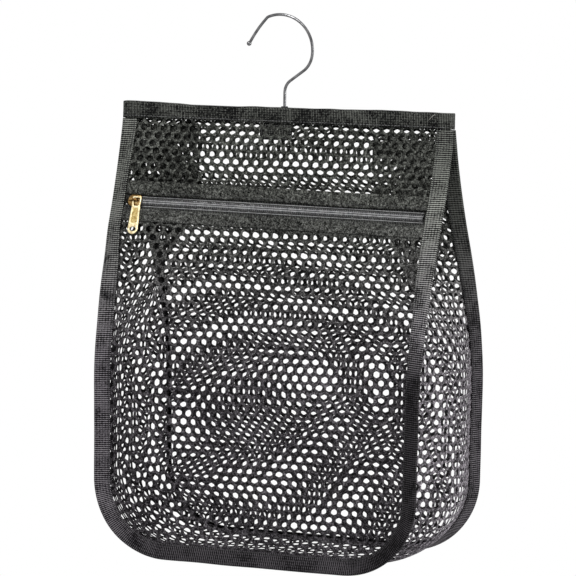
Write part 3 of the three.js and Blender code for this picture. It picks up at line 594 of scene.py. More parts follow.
class Surface(Shades):
    """A new material. where is a point's place in metres, and across, up and depth are its parts."""

    def __init__(self, name, rough, metal=0.0, gloss=0.5):
        self.material = bpy.data.materials.new(name)
        self.material.use_nodes = True
        super().__init__(self.material.node_tree)
        self.shader = self.tree.nodes["Principled BSDF"]
        for key, value in (("Roughness", rough), ("Metallic", metal), ("Specular IOR Level", gloss)):
            self.shader.inputs[key].default_value = value
        self.where = self.add("TexCoord")["Object"]
        self.across, _, self.up = self.add("SeparateXYZ", {0: self.where})
        self.depth = self.times(self.up, -1.0)

    def noise(self, scale, detail=2.0, rough=0.5):
        inputs = {"Vector": self.where, "Scale": scale, "Detail": detail, "Roughness": rough}
        return self.add("TexNoise", inputs)[0]

    def waves(self, *pitches):
        """Heights of ribs across and down the cloth, with the pitches in millimetres."""
        coordinates = self.add("SeparateXYZ", {0: self.add("UVMap", uv_map="cloth")[0]})
        return [self.math("SINE", self.times(coordinates[axis], 100 * TURN / pitch))
                for axis, pitch in enumerate(pitches)]

    def scaled(self, colour, share):
        return self.add("VectorMath", {0: colour, "Scale": share}, operation="SCALE")[0]

    def tinted(self, colour):
        """The cloth's black leans to green near the top and to purple lower down."""
        low = self.step(self.depth, 0.12, 0.30)
        tint = self.ramp(low, [(0.0, (0.97, 1.0, 0.9)), (1.0, (1.0, 0.92, 1.0))])
        return self.add("VectorMath", {0: colour, 1: tint}, operation="MULTIPLY")[0]

    def painted_side_light_and_shade(self, colour):
        """Painted light on the right side of the gusset, where the side lamp catches its bulge, and painted
        shade on its folded left side.
        """
        right = self.times(self.step(self.across, 0.09, 0.14), self.step(self.depth, 0.15, 0.27))
        left = self.step(self.times(self.across, -1.0), 0.05, 0.11)
        return self.scaled(colour, self.sum(1.0, (right, 1.9), (left, -0.55)))

    def painted_light_and_shade(self, colour):
        """Painted light and shade on the binding: paler on the left and half way up the right, darker low on
        the right, where the tape turns away from the light, and at the foot, where its inner face lies in
        shadow.
        """
        right = self.step(self.across, 0.02, 0.12)
        foot = self.times(self.step(self.depth, 0.385, 0.428), 0.75)
        low = self.step(self.depth, 0.235, 0.29)
        high = self.step(self.depth, 0.10, 0.16)
        pale = self.times(self.times(high, self.math("SUBTRACT", 1.0, low)), right)
        dark = self.math("MAXIMUM", self.times(low, right), foot)
        left = self.step(self.times(self.across, -1.0), 0.06, 0.12)
        return self.scaled(colour, self.sum(1.0, (pale, 0.75), (left, 0.3), (dark, -0.72)))

    def finish(self, colour, height=None, strength=0.0, distance=0.0):
        self.tree.links.new(colour, self.shader.inputs["Base Color"])
        if height is not None:
            bump = self.add("Bump", {"Strength": strength, "Distance": distance, "Height": height})
            self.tree.links.new(bump[0], self.shader.inputs["Normal"])
        return self.material


def grey(value, blue=0.0):
    return value, value, value + blue


def between(dark, light, share):
    return tuple(d + (l - d) * share for d, l in zip(dark, light))


def knit_material(name, dark, light, across=0.95, down=1.15, paint_side_light=False):
    s = Surface(name, 0.85, gloss=0.03)
    loops = s.times(*s.waves(across, down))
    fine = s.noise(1100, 1.0)
    tone = s.sum(fine, (loops, 0.06), (s.noise(420, 2.0, 0.6), 1.0), (s.noise(16, 3.0), 0.35))
    colour = s.ramp(tone, [(0.95, dark), (1.25, between(dark, light, 0.28)), (1.5, light)])
    # painted light on the gusset's right side and painted shade on its folded left
    if paint_side_light:
        colour = s.painted_side_light_and_shade(colour)
    return s.finish(s.tinted(colour), s.sum(fine, (loops, 0.22)), 0.55, 0.0004)


def rib_material(name, dark, light, pitch, thread=2.3, rough=0.6, deep=0.8, paint_light_and_shade=False, hem=None,
                 ribbed=1.0, contrast=1.0):
    """Woven tape. hem is the height above which a second layer makes it a little lighter, in metres."""
    s = Surface(name, rough, gloss=0.06)
    wave, threads = s.waves(pitch, thread)
    ribs = s.sum(0.5, (wave, 0.5))
    tone = s.times(ribs, s.sum(0.05, (s.noise(60), 1.3 * ribbed)))
    tone = s.sum(tone, (threads, 0.11 * ribbed), (s.noise(900, 2.0, 0.6), 0.6), (s.noise(480, 1.0), 0.5),
                 (s.noise(22, 3.0), 0.3))
    if hem is not None:
        tone = s.sum(tone, (s.step(s.up, hem - 0.0006, hem + 0.0006), 0.07 / contrast))
    centre = 1.1 - 0.35 * (1 - ribbed) + 0.07 * (contrast - 1)
    colour = s.ramp(tone, [(centre - 0.24 / contrast, dark), (centre, between(dark, light, 0.3)),
                           (centre + 0.22 / contrast, light)])
    # painted light and painted shade along the binding, set by place
    if paint_light_and_shade:
        colour = s.painted_light_and_shade(colour)
    return s.finish(s.tinted(colour), s.sum(ribs, (threads, 0.18)), deep, 0.00028)


def metal_material(name, stops, rough_low, rough_high, scale, bump_strength=0.2):
    s = Surface(name, rough_low, metal=1.0)
    inputs = {"Value": s.noise(scale * 2.3, 3.0, 0.6), "To Min": rough_low, "To Max": rough_high}
    s.tree.links.new(s.add("MapRange", inputs)[0], s.shader.inputs["Roughness"])
    colour = s.ramp(s.noise(scale, 4.0, 0.6), stops)
    return s.finish(colour, s.noise(1800, 3.0, 0.6), bump_strength, 0.0001)


def plain_material(name, dark, light, rough, scale=300, gloss=0.5):
    s = Surface(name, rough, gloss=gloss)
    return s.finish(s.ramp(s.noise(scale, 3.0, 0.6), [(0.35, dark), (0.7, light)]))


MESH_KNIT = knit_material("knit_black", grey(0.003), grey(0.26))
# the gusset's knit carries painted side light and painted shade
GUSSET_KNIT = knit_material("gusset_knit", grey(0.004), grey(0.28), paint_side_light=True)
BAND_KNIT = knit_material("band_knit", grey(0.006), grey(0.3), 1.05, 1.3)
# the front binding's tape carries painted light and painted shade by place
RIB_TAPE = rib_material("ribbed_tape", grey(0.003, 0.0005), grey(0.24), 1.7, paint_light_and_shade=True)
BACK_TAPE = rib_material("back_ribbed_tape", grey(0.002, 0.0005), grey(0.19), 1.7)
TOP_TAPE = rib_material("top_tape", grey(0.002, 0.0005), grey(0.17), 1.4, 2.0, deep=0.5, hem=-0.0795,
                        ribbed=0.5, contrast=2.2)
ZIP_WOVEN = rib_material("zip_woven", grey(0.004, 0.001), grey(0.12, 0.002), 1.4, 0.9, 0.55)
MID_THREAD = plain_material("mid_thread", grey(0.05), grey(0.3), 0.6, 700, 0.1)
THREAD = plain_material("black_thread", grey(0.015, 0.001), grey(0.16), 0.6, 900, 0.15)
PALE_THREAD = plain_material("pale_thread", (0.25, 0.24, 0.22), (0.5, 0.48, 0.44), 0.6, 900)
# the zip's sewing cords, coloured pale so that they stand as painted highlight lines along the chain
PALE_CORD_HIGHLIGHT = plain_material("pale_cord_highlight", grey(0.38, 0.005), grey(0.8), 0.6, 500, 0.1)
COIL = plain_material("coil_nylon", grey(0.08, 0.002), grey(0.32), 0.5, 500, 0.15)
BRASS = metal_material(
    "aged_brass", [(0.3, (0.18, 0.12, 0.035)), (0.5, (0.4, 0.3, 0.12)), (0.75, (0.6, 0.48, 0.24))],
    0.35, 0.55, 620)
BRIGHT_BRASS = metal_material(
    "bright_brass", [(0.3, (0.42, 0.32, 0.15)), (0.5, (0.75, 0.64, 0.4)), (0.75, (0.92, 0.84, 0.6))],
    0.3, 0.42, 420)
DARK_BRASS = metal_material(
    "dark_brass", [(0.35, (0.09, 0.045, 0.014)), (0.55, (0.28, 0.17, 0.06)), (0.75, (0.55, 0.41, 0.2))],
    0.18, 0.34, 300)
STEEL = metal_material(
    "dark_steel", [(0.3, grey(0.08, 0.003)), (0.7, grey(0.24, 0.005))], 0.14, 0.26, 160, 0.08)
BAR_BLACK = plain_material("bar_black", grey(0.008), grey(0.02), 0.45)

# ---- nets ----
for node_name, made in (
        ("front_upper_panel",
         face_net("front_upper_net", FRONT, RINGS["front"], PANEL_TOP, 74.3, 6.5, 11, 1.4, 0.0)),
        ("front_lower_panel",
         face_net("front_lower_net", FRONT, RINGS["front"], 87.5, BAG_HEIGHT + 35, 7.2, 23, -2.1, 3.0)),
        ("back_panel",
         face_net("back_net", BACK, RINGS["back"], PANEL_TOP, BAG_HEIGHT + 35, 6.9, 37, 3.3, -1.0, 0.22))):
    finish_piece(made, "bag", "knitted_mesh", MESH_KNIT, node_name)
finish_piece(gusset_net(), "bag", "knitted_mesh", GUSSET_KNIT, "gusset")


# ---- tapes ----
def channel_section(width, outer, inner):
    """Tape folded round an edge, as (a, b) points: the fold is rounded and the cut edges are a little soft."""
    bend = 1.3
    half = [(-width + (width - bend) * k / 6, outer) for k in range(7)]
    for k in range(1, 5):
        angle = math.pi / 2 * k / 5
        half.append((-bend + bend * math.sin(angle), outer - bend + bend * math.cos(angle)))
    half.append((0, outer - bend))
    inside = [(-TAPE, inner), (-(width + TAPE) / 2, inner), (-width, inner),
              (-width - 0.12, (outer + inner) / 2)]
    return np.array(half + [(a, -b) for a, b in half[::-1] + inside[::-1]] + inside)


def tape_mesh(name, rows, along, across, flip=False):
    """A tape lofted over rows of matching points, closed at both ends."""
    faces = loft_grid(rows)
    uv = spread(along[:, None], across).reshape(-1, 2)
    made = mesh_object(name, rows.reshape(-1, 3), faces[:, ::-1] if flip else faces, uv)
    settle(made, ends=rows.shape[1])
    return made


def stitches(name, paths, length, pitch, radius, material):
    """Rows of stitches: each path is (points, outward directions), and each stitch a short thread that dips at
    its ends."""
    profile = ((-0.5, 0.0), (-0.36, 0.8), (0.0, 1.0), (0.36, 0.8), (0.5, 0.0))
    angle = circle(6)[:, None]
    parts = []
    for line, away in paths:
        arc = arc_along(line)
        end = arc[-1]
        count = int(end / pitch)
        for x in (np.arange(count) + 0.5) * end / count:
            tangent = unit(read_off(min(x + 0.5, end), arc, line) - read_off(max(x - 0.5, 0), arc, line))
            up = unit(read_off(x, arc, away))
            spokes = np.cross(tangent, up) * np.cos(angle) + up * np.sin(angle)
            rows = [read_off(np.clip(x + offset * length, 0, end), arc, line)
                    + up * radius * (lift * 0.9 - 0.2) + spokes * radius * (0.55 + 0.45 * lift)
                    for offset, lift in profile]
            parts.append(closed_loft(np.array(rows)))
    add_parts(name, parts, "bag", "woven_tape", material)


def edge_tape(label, seed, finish):
    ring = below_drop(RINGS[label], SIDE_TOP)
    arc = arc_along(ring["edge"])
    where = np.linspace(0, arc[-1], int(arc[-1]))
    edge, out, normal = (read_off(where, arc, ring[key]) for key in ("edge", "out", "normal"))
    out, normal = unit(out), unit(normal)
    section = channel_section(BINDING_WIDTH, CHANNEL_OUTER, CHANNEL_INNER)
    a, b = section.T
    wander = 0.25 * ripple(where, 0 * where, seed, 45)
    swelling = 0.12 * ripple(where[:, None] + 0 * a, 3.0 * a[None], seed + 1, 30)
    rows = (edge[:, None] + out[:, None] * (a + wander[:, None])[..., None]
            + normal[:, None] * (b + swelling)[..., None])
    made = tape_mesh(f"{label}_edge_tape", BAG_AT + rows, where, arc_along(section), flip=True)
    finish_piece(made, "bag", "woven_tape", finish, f"{label}_edge_binding")
    line = BAG_AT + edge + out * (1.4 - BINDING_WIDTH)
    paths = [(line + normal * way * CHANNEL_OUTER, normal * way) for way in (1, -1)]
    stitches(f"{label}_edge_stitches", paths, 1.9, 2.5, 0.26, THREAD)


def cut_round(made, at, radius, length):
    """Cuts a round upright hole."""
    bpy.ops.mesh.primitive_cylinder_add(vertices=32, radius=radius * MM, depth=length * MM,
                                        location=[float(x) * MM for x in at])
    cutter = bpy.context.object
    cut = made.modifiers.new("eyelet", "BOOLEAN")
    cut.object = cutter
    cut.solver = "EXACT"
    bpy.context.view_layer.update()
    made.data = bpy.data.meshes.new_from_object(made.evaluated_get(bpy.context.evaluated_depsgraph_get()))
    made.modifiers.clear()
    bpy.data.objects.remove(cutter)


def top_tape():
    x = np.linspace(-TOP_LENGTH / 2, TOP_LENGTH / 2, 240)
    section = channel_section(BINDING_WIDTH, HEM_OUTER, HEM_INNER)
    a, b = section.T
    lift = 0.35 * ripple(x, 0 * x, 91, 70) + 0.2 * ripple(x, 0 * x, 95, 22)
    lift = lift - 1.1 * np.exp(-((x + 62) / 45) ** 2) + 0.5 * np.exp(-((x - 75) / 30) ** 2)
    share = (-a / BINDING_WIDTH)[None]
    puff = 0.35 * ripple(x[:, None] + 0 * a, 2.0 * a[None] + 9 * np.sign(b)[None], 92, 42) * (0.25 + share)
    rows = spread(x[:, None], b + np.sign(b) * np.maximum(puff, -0.25), a + lift[:, None] * (1 - share))
    made = tape_mesh("top_tape", BAG_AT + rows, x, arc_along(section))
    cut_round(made, (HOOK_AT[0], 0, BAG_AT[2] + 3), 1.85, 14)
    finish_piece(made, "bag", "woven_tape", TOP_TAPE, "top_binding")
    side = np.linspace(-TOP_LENGTH / 2 + 2, TOP_LENGTH / 2 - 2, 120)
    paths = []
    for way in (-1, 1):
        line = spread(side, way * (HEM_OUTER + 0.1), 1.8 - BINDING_WIDTH)
        paths.append((BAG_AT + line, np.tile([0.0, way, 0.0], (len(side), 1))))
    stitches("top_tape_stitches", paths, 2.0, 2.7, 0.3, MID_THREAD)


def tape_ends():
    """The folded-in ends of the top tape, and one loose thread end."""
    foot, outer = 0.3 - BINDING_WIDTH, HEM_OUTER - 0.25
    side = [(foot, outer), (-1.2, outer), (-0.35, HEM_OUTER - 1.1)]
    section = np.array(side + [(-0.2, 0.0)] + [(a, -b) for a, b in side[::-1]])
    middle = section.mean(0)
    parts = []
    for way in (-1, 1):
        rows = []
        for past, scale in ((-0.9, 1.0), (-0.1, 1.0), (0.15, 0.93)):
            a, b = (middle + (section - middle) * scale).T
            rows.append(spread((TOP_LENGTH / 2 + past) * way, b, a))
        parts.append(closed_loft(np.array(rows)))
    points, faces = gather(parts)
    made = mesh_object("top_tape_ends", BAG_AT + points, faces, points[:, 1:])
    settle(made, sharp=40)
    finish_piece(made, "bag", "woven_tape", TOP_TAPE)
    bend = np.linspace(0, 1, 12)
    arch = np.sin(math.pi * bend)
    line = spread(124.6 + 5.2 * bend, -HEM_OUTER - 0.25 - 0.35 * arch, -6.0 + 4.6 * bend + 0.5 * arch)
    add_parts("thread_end", [tube(BAG_AT + line, 0.24, 6)], "bag", "woven_tape", PALE_THREAD)


def eyelet():
    """A worked eyelet round the hook's stem in the top fold."""
    turn, roll = circle(48)[:, None], circle(8)[None]
    thick = 0.42 * (1 + 0.16 * np.sin(turn * 16))
    radius = 2.35 + thick * np.cos(roll)
    points = spread(radius * np.cos(turn), radius * np.sin(turn), 0.1 + thick * np.sin(roll))
    here = np.arange(turn.size * roll.size).reshape(turn.size, roll.size)
    after = np.roll(here, -1, axis=0)
    quads = np.stack([here, after, np.roll(after, -1, axis=1), np.roll(here, -1, axis=1)], -1)
    parts = [(HOOK_AT + points.reshape(-1, 3), quads.reshape(-1, 4))]
    add_parts("stem_eyelet", parts, "bag", "woven_tape", THREAD)


def patch():
    """The reinforcement inside the front mesh, below the top tape, with its stitched outline."""
    low, high = (np.array(corner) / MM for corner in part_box("hook_patch"))
    verts = np.array([v.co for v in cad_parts["hook_patch"].data.vertices], float) / MM
    head = verts[verts[:, 2] > high[2] - 1.5].mean(0)
    foot = verts[verts[:, 2] < low[2] + 1.5].mean(0)
    slope = unit(np.array([0, foot[1] - head[1], foot[2] - head[2]]))
    away = np.array([0, slope[2], -slope[1]])
    columns, rows = 29, 15

    def spot(across, down):
        return spread(low[0] + (high[0] - low[0]) * across,
                      *(head[k] + (foot[k] - head[k]) * down for k in (1, 2)))

    base = spot(np.linspace(0, 1, columns)[None], np.linspace(0, 1, rows)[:, None])
    dent = 0.12 * ripple(base[..., 0], base[..., 2], 97, 12)
    half = TAPE / 2
    near = base + away * (half + dent)[..., None]
    far = base - away * (half - dent)[..., None]
    grid = np.arange(rows * columns).reshape(rows, columns)
    quads = loft_grid(base, closed_section=False)
    rim = np.concatenate([grid[0], grid[1:, -1], grid[-1, -2::-1], grid[-2:0:-1, 0]])
    after = np.roll(rim, -1)
    faces = np.concatenate([quads, grid.size + quads[:, ::-1],
                            np.stack([after, rim, grid.size + rim, grid.size + after], -1)])
    uv = np.concatenate([base[..., [0, 2]].reshape(-1, 2)] * 2)
    made = mesh_object("stem_patch", np.concatenate([near.reshape(-1, 3), far.reshape(-1, 3)]), faces, uv)
    finish_piece(made, "bag", "woven_tape", TOP_TAPE, "hook_patch")
    left, right, upper, lower = 1.5 / (columns - 1), 1 - 1.5 / (columns - 1), 0.12, 0.88
    corners = np.array([(left, upper), (right, upper), (right, lower), (left, lower), (left, upper)])
    outline = np.concatenate([np.linspace(a, b, 12, endpoint=False) for a, b in zip(corners, corners[1:])])
    way = away if away[1] < 0 else -away
    line = spot(outline[:, 0], outline[:, 1]) + way * (half + 0.1)
    stitches("stem_patch_stitches", [(line, np.tile(way, (len(line), 1)))], 1.8, 2.4, 0.22, THREAD)


edge_tape("front", 71, RIB_TAPE)
edge_tape("back", 83, BACK_TAPE)
top_tape()
tape_ends()
eyelet()
patch()


# ---- the zip ----
def zip_band(name, top_drop, height, way, seed, node_name):
    inner = CLOTH / 2 + GAP
    outer = inner + TAPE
    slope = 1.0674  # the zip's plane leans back, so a drop is longer along it
    section = channel_section(height * 1.06, outer, inner)
    x = np.linspace(-ZIP_REACH, ZIP_REACH, 220)
    start = (CHAIN_DROP - top_drop) * slope
    a, b = section.T
    share = (-a / height)[None]
    lift = 0.4 * ripple(x, 0 * x, seed, 80) * smooth((ZIP_REACH - np.abs(x)) / 12)
    puff = 0.16 * ripple(x[:, None] + 0 * a, 3 * a[None], seed + 1, 28)
    rows = spread(x[:, None], BAND_CENTRE + b + puff * np.sign(b) * 0.6,
                  start + way * a + lift[:, None] * (1 - share * 0.6))
    made = tape_mesh(name, in_zip(rows), x, arc_along(section))
    finish_piece(made, "bag", "woven_tape", BAND_KNIT, node_name)
    line = in_zip(spread(x, BAND_CENTRE - outer - 0.02, start - way * 1.7 + lift))
    stitches(name + "_stitches", [(line, np.tile(-ZIP_AXES[1], (len(x), 1)))], 2.0, 2.6, 0.22, THREAD)


def zip_tape(name, way, node_name):
    reach = SPINE_OUTER + GAP + np.array([0, 0.25, 0.9, 1.2, 2, 6, TAPE_WIDTH - 0.8, TAPE_WIDTH])
    front = np.array([0.22, 0.42, 0.42, 0.3, 0.3, 0.3, 0.3, 0.22])
    back = np.array([0.22, 0.35, 0.35, 0.3, 0.3, 0.3, 0.3, 0.22])
    section = np.stack([np.concatenate([-front, back[::-1]]), way * np.concatenate([reach, reach[::-1]])], -1)
    x = np.linspace(-ZIP_REACH, ZIP_REACH, 160)
    rows = spread(x[:, None], *section.T)
    made = tape_mesh(name, in_zip(rows), x, arc_along(section))
    finish_piece(made, "bag", "zip_tape", ZIP_WOVEN, node_name)


def coil_row(name, way, node_name):
    """One side of the chain: a nylon coil whose turns reach past the middle, its core and its sewing cords."""
    first = -ZIP_HALF + GAP + 1 + 3.2 + GAP
    count = int((ZIP_HALF - first) / TOOTH_PITCH)
    reach = TOOTH_REACH * 0.92
    turn = np.array([(0.34, -0.95, 2.5), (0.1, -0.98, 1.2), (0, -0.92, 0.2), (0, -0.72, -reach * 0.75),
                     (0, -0.1, -reach), (0, 0.55, -reach * 0.75), (0, 0.8, 0.2), (-0.1, 0.85, 1.2),
                     (-0.3, 0.8, 2.5)]) * (1, 1, way)
    radius = [0.24, 0.24, 0.25, 0.31, 0.34, 0.3, 0.24, 0.24, 0.24]
    flat = np.array([1.9, 1.9, 1.5, 1.1, 1.0, 1.1, 1.5, 1.9, 1.9])
    places = first + (0.0 if way > 0 else TOOTH_PITCH / 2) + (np.arange(count) + 0.25) * TOOTH_PITCH
    x = np.arange(first, ZIP_HALF, 0.45)
    wave = 0.05 * np.sin(x * TURN / TOOTH_PITCH)

    def cord(y, z, radius, flat=1.0):
        return tube(spread(x, y + wave, way * z), radius, flat=flat, up=(0, 0, 1))

    turns = [tube(turn + (place, 0, 0), radius, flat=flat, up=(1, 0, 0)) for place in places]
    for label, parts, finish, nodes in (
            ("", turns, COIL, [node_name]),
            ("_core", [cord(0.0, 1.6, 0.58, 1.6), cord(-0.7, 2.85, 0.3)], THREAD, []),
            # the sewing cords are coloured pale, as painted highlight lines along the chain
            ("_cord", [cord(-1.12, 0.85, 0.28), cord(-0.42, 4.0, 0.22)], PALE_CORD_HIGHLIGHT, [])):
        placed = [(in_zip(points), faces) for points, faces in parts]
        add_parts(name + label, placed, "bag", "zip_teeth", finish, *nodes)


zip_band("upper_band", UPPER_BAND_DROP + UPPER_BAND_HEIGHT, UPPER_BAND_HEIGHT, -1, 101, "upper_zip_band")
zip_band("lower_band", LOWER_BAND_DROP, LOWER_BAND_HEIGHT, 1, 103, "lower_zip_band")
zip_tape("upper_tape", 1, "upper_zip_tape")
zip_tape("lower_tape", -1, "lower_zip_tape")
coil_row("upper_coil", 1, "upper_teeth")
coil_row("lower_coil", -1, "lower_teeth")


# ---- slider and puller ----
def flat_plate(outline, holes, depth, bevel, to_row, y=0.0):
    """Points and faces of a plate with rounded edges, from an outline and holes in its own plane at y."""
    curve = bpy.data.curves.new("plate", "CURVE")
    curve.dimensions = "2D"
    curve.fill_mode = "BOTH"
    curve.extrude = depth / 2 - bevel
    curve.bevel_depth = bevel
    curve.bevel_resolution = 3
    curve.offset = -bevel
    for points in [outline, *holes]:
        spline = curve.splines.new("POLY")
        spline.points.add(len(points) - 1)
        for target, (px, py) in zip(spline.points, points):
            target.co = (px, py, 0, 1)
        spline.use_cyclic_u = True
    holder = add_object("plate", curve)
    bpy.context.view_layer.update()
    mesh = bpy.data.meshes.new_from_object(holder.evaluated_get(bpy.context.evaluated_depsgraph_get()))
    points = np.array([v.co for v in mesh.vertices], float)
    faces = [tuple(p.vertices) for p in mesh.polygons]
    bpy.data.objects.remove(holder)
    bpy.data.curves.remove(curve)
    bpy.data.meshes.remove(mesh)
    return to_row(np.stack([points[:, 0], y + points[:, 2], points[:, 1]], -1)), faces


def arc_points(cx, cy, rx, ry, start, end, steps):
    angle = np.radians(np.linspace(start, end, steps))
    return [(cx + rx * math.cos(t), cy + ry * math.sin(t)) for t in angle]


NOSE = -ZIP_HALF + GAP
TAIL = NOSE + 11.5
PLATE_FRONT = -2.9
BAR_BACK = PLATE_FRONT - 2.5


def bridge():
    """The loop that the puller's ring runs on."""
    left, right, crown = NOSE + 1.0, NOSE + 10.0, BAR_BACK - 0.5
    path = np.array([
        (left + 0.9, PLATE_FRONT + 0.5), (left + 0.8, BAR_BACK + 1.2), (left + 1.0, BAR_BACK + 0.4),
        (left + 1.5, BAR_BACK - 0.2), (left + 2.3, crown), (left + 4.5, crown), (right - 2.3, crown),
        (right - 1.5, BAR_BACK - 0.2), (right - 1.0, BAR_BACK + 0.4), (right - 1.0, BAR_BACK + 1.2),
        (right - 1.0, PLATE_FRONT + 0.5)])
    arc = arc_along(path)
    curve = read_off(np.linspace(0, arc[-1], 40), arc, path)
    for _ in range(4):
        curve[1:-1] = (curve[:-2] + curve[1:-1] * 2 + curve[2:]) / 4
    tangent = unit(np.gradient(curve, axis=0))[:, None]
    across, over = np.cos(circle(16)), np.sin(circle(16))
    wide = 1.1 * np.sign(across) * np.abs(across) ** 0.55
    thick = 0.62 * np.sign(over) * np.abs(over) ** 0.7
    rows = spread(curve[:, None, 0] - tangent[..., 1] * thick,
                  curve[:, None, 1] + tangent[..., 0] * thick, wide)
    return in_zip(rows.reshape(-1, 3)), loft_grid(rows)


def dome():
    """The raised middle of the front plate, under the bridge."""
    levels, around = 7, 28
    t, angle = np.linspace(0, 1, levels)[:, None], circle(around)
    reach = np.cos(t * math.pi / 2 * 0.98)
    rows = spread(NOSE + 5.2 + 5.1 * reach * np.cos(angle),
                  PLATE_FRONT + 0.2 - 0.95 * np.sin(t * math.pi / 2), 4.6 * reach * np.sin(angle))
    top = range((levels - 1) * around, levels * around)
    return in_zip(rows.reshape(-1, 3)), [*loft_grid(rows), top[::-1]]


def slider_piece():
    outline = ([(TAIL, -3.9), (TAIL, 3.9), (TAIL - 0.4, 4.35), (NOSE + 6.4, 4.8)]
               + arc_points(NOSE + 4.2, 0, 4.2, 4.8, 95, 265, 20) + [(NOSE + 6.4, -4.8), (TAIL - 0.4, -4.35)])
    parts = [flat_plate(outline, [], 1.4, 0.35, in_zip, y) for y in (-2.2, 2.2)]
    for way in (-1, 1):  # flanges that close the sides
        shape = [(NOSE + 4.6, 3.35), (TAIL, 3.35), (TAIL, 4.2), (NOSE + 5.6, 4.7)][::way]
        shape = [(px, way * py) for px, py in shape]
        parts += [flat_plate(shape, [], 0.9, 0.2, in_zip, y) for y in (-1.15, 1.15)]
    wedge = [(NOSE + 1.0, 0.0), (NOSE + 2.0, 1.1), (NOSE + 3.4, 1.0), (NOSE + 4.2, 0.0), (NOSE + 3.4, -1.0),
             (NOSE + 2.0, -1.1)]
    parts += [flat_plate(wedge, [], 3.6, 0.15, in_zip), dome(), bridge()]
    add_parts("slider_body", parts, "slider", "aged_brass", DARK_BRASS, "slider", sharp=40)


def puller_piece():
    head, waist, foot, reach = 3.9, 3.6, 4.5, 28.8
    ring_inner, ring_wall, opening, rim = 1.8, 1.2, 5.0, 1.0
    top = ring_inner + ring_wall
    bend, window_bend = 1.1, 0.6

    def outline(inset):
        radius = bend - inset
        shape = arc_points(head - bend, top - bend, radius, radius, 0, 90, 6)
        shape += arc_points(bend - head, top - bend, radius, radius, 90, 180, 6)
        shape += [(-head + inset, -ring_inner), (-waist + inset, -opening)]
        shape += arc_points(0, -reach + foot, foot - inset, foot - inset, 180, 360, 28)
        return shape + [(waist - inset, -opening), (head - inset, -ring_inner)]

    half = head - ring_wall
    corner = (window_bend, window_bend)
    window = arc_points(half - window_bend, ring_inner - window_bend, *corner, 90, 0, 5)
    narrow = waist - ring_wall
    side = [(half, -ring_inner), (narrow - 0.3, -opening + 0.4), (narrow - 0.9, -opening)]
    window += side + [(-px, py) for px, py in side[::-1]]
    window += arc_points(window_bend - half, ring_inner - window_bend, *corner, 180, 90, 5)
    hole = arc_points(0, -24.6, 2.8, 2.0, 360, 0, 28)[:-1]
    high, low, inner = -7.5, -19.5, waist - rim
    recess = [(0.3 - inner, high), (-inner - 0.2, low + 1.0)]
    recess += arc_points(0, low + 1.2, inner + 0.15, 1.2, 180, 360, 14)
    recess += [(inner + 0.2, low + 1.0), (inner - 0.3, high)]
    recess += arc_points(0, high, inner - 0.3, 0.7, 0, 180, 12)
    core = flat_plate(outline(0.25), [window, hole], 0.6, 0.1, in_puller)
    add_parts("puller_core", [core], "puller", "aged_brass", BRASS, sharp=45)
    tab = flat_plate(outline(0), [window, hole, recess], 1.2, 0.22, in_puller)
    add_parts("puller_tab", [tab], "puller", "aged_brass", BRIGHT_BRASS, "puller", sharp=45)


slider_piece()
puller_piece()


# ---- hook ----
def hook_path():
    """The wire's centre line in its own plane, from the foot of the stem to the tip."""
    path, heading = [np.array([0.0, -14.2])], math.pi / 2
    for radius, amount in ((None, 26.1), (11.6, -54.3), (None, 13.6), (18.4, 44.7), (28.2, 122), (3, 24.3),
                           (102, 14.1), (3, -22)):
        start = path[-1]
        if radius is None:  # straight on for that many millimetres
            steps = int(amount)
            ahead = np.array([math.cos(heading), math.sin(heading)]) * amount
            path += [start + ahead * i / steps for i in range(1, steps + 1)]
        else:  # a bend of that many degrees
            turn = math.radians(amount)
            steps = max(int(abs(turn) * radius / 0.8), 6)
            angle = heading + turn * np.arange(steps + 1) / steps
            spokes = np.stack([np.sin(angle), -np.cos(angle)], -1) * math.copysign(radius, turn)
            path += list(start - spokes[0] + spokes[1:])
            heading += turn
    return np.array(path)


def hook_piece():
    path = hook_path()
    line = HOOK_AT + spread(path[:, 0], 0.0, path[:, 1])
    polar, angle = np.linspace(0, math.pi, 13)[:, None], circle(20)
    ball = spread(np.sin(polar) * np.cos(angle), np.sin(polar) * np.sin(angle), np.cos(polar))
    parts = [tube(line, 1.2, 20), (line[-1] + 2.0 * ball.reshape(-1, 3), loft_grid(ball))]
    add_parts("hook_wire", parts, "hook", "hook_wire", STEEL, "hook", sharp=50)


hook_piece()

# ---- carried-over CAD nodes ----
for node_name, finish in (("hanger_bar", BAR_BLACK), ("hook_washer", STEEL), ("hook_nut", STEEL)):
    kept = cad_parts[node_name]
    kept.data.materials.clear()
    kept.data.materials.append(finish)


# ---- stage, light and camera ----
def white_when_seen(tree, shader, white, output):
    """Shows white to camera, glossy and transmission rays, and the shader to the rest."""
    s = Shades(tree)
    rays = s.add("LightPath")
    seen = s.math("MAXIMUM", rays["Is Camera Ray"], rays["Is Glossy Ray"])
    seen = s.math("MAXIMUM", seen, rays["Is Transmission Ray"])
    shown = s.add(white, {"Color": (1, 1, 1, 1), "Strength": 1.0})[0]
    mixed = s.add("MixShader", {0: seen, 1: shader.outputs[0], 2: shown})[0]
    tree.links.new(mixed, tree.nodes[output].inputs[0])


world = bpy.data.worlds.new("studio")
bpy.context.scene.world = world
world.use_nodes = True
background = world.node_tree.nodes["Background"]
background.inputs["Color"].default_value = (0.95, 0.97, 1.0, 1)
background.inputs["Strength"].default_value = 0.25
white_when_seen(world.node_tree, background, "Background", "World Output")

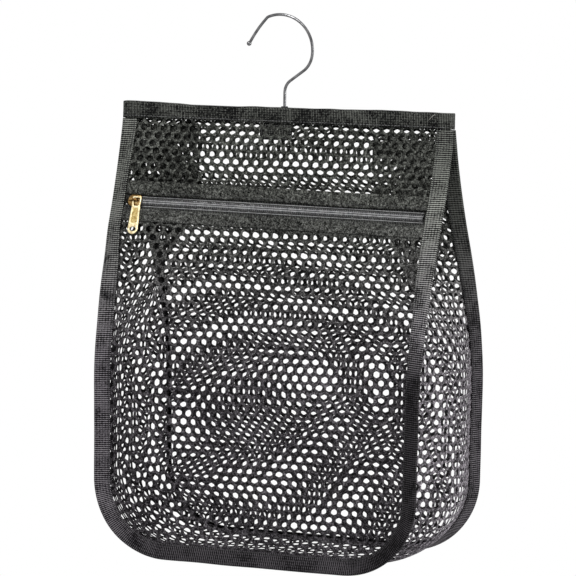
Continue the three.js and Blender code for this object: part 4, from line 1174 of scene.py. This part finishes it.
FLOOR_HALF, FLOOR_Z = 6.0, -0.95
floor_mesh = bpy.data.meshes.new("studio_floor")
corners = [(-1, -1), (1, -1), (1, 1), (-1, 1)]
floor_mesh.from_pydata([(x * FLOOR_HALF, y * FLOOR_HALF, FLOOR_Z) for x, y in corners], [], [(0, 1, 2, 3)])
floor_finish = Surface("studio_floor", 0.9)
floor_finish.shader.inputs["Base Color"].default_value = (0.86, 0.86, 0.86, 1)
white_when_seen(floor_finish.tree, floor_finish.shader, "Emission", "Material Output")
floor_mesh.materials.append(floor_finish.material)
add_object("studio_floor", floor_mesh)

TARGET = np.array([9.614, 0.0, -218.775]) * MM
for name, location, size, power in (
        ("key", (-0.1, -0.9, 0.7), 0.45, 9.5), ("side", (1.5, -0.15, 0.1), 0.6, 10),
        ("rim", (0.3, 1.6, 0.9), 1.0, 6)):
    lamp = bpy.data.lights.new(name, "AREA")
    lamp.energy = power
    lamp.size = size
    made = add_object(name, lamp)
    made.location = location
    made.rotation_euler = (Vector(TARGET) - Vector(location)).to_track_quat("-Z", "Y").to_euler()

THETA, PHI, ROLL = 0.409576743, 0.104591283, 0.0133062284
FOCAL_PX, DISTANCE = 3719.593, 3000.861 * MM
SENSOR_MM, PICTURE_PX = 36, 576
back = np.array([math.sin(THETA) * math.cos(PHI), -math.cos(THETA) * math.cos(PHI), math.sin(PHI)])
level = unit(np.cross([0, 0, 1.0], back))
upright = np.cross(back, level)
right = math.cos(ROLL) * level + math.sin(ROLL) * upright
up = -math.sin(ROLL) * level + math.cos(ROLL) * upright
where = TARGET + back * DISTANCE
camera_data = bpy.data.cameras.new("camera")
camera_data.sensor_width = SENSOR_MM
camera_data.lens = FOCAL_PX * SENSOR_MM / PICTURE_PX
camera_data.clip_start, camera_data.clip_end = 0.05, 50
camera = add_object("camera", camera_data)
camera.matrix_world = Matrix([[right[i], up[i], back[i], where[i]] for i in range(3)] + [[0, 0, 0, 1]])
bpy.context.scene.camera = camera
bpy.context.scene.view_settings.view_transform = "Standard"
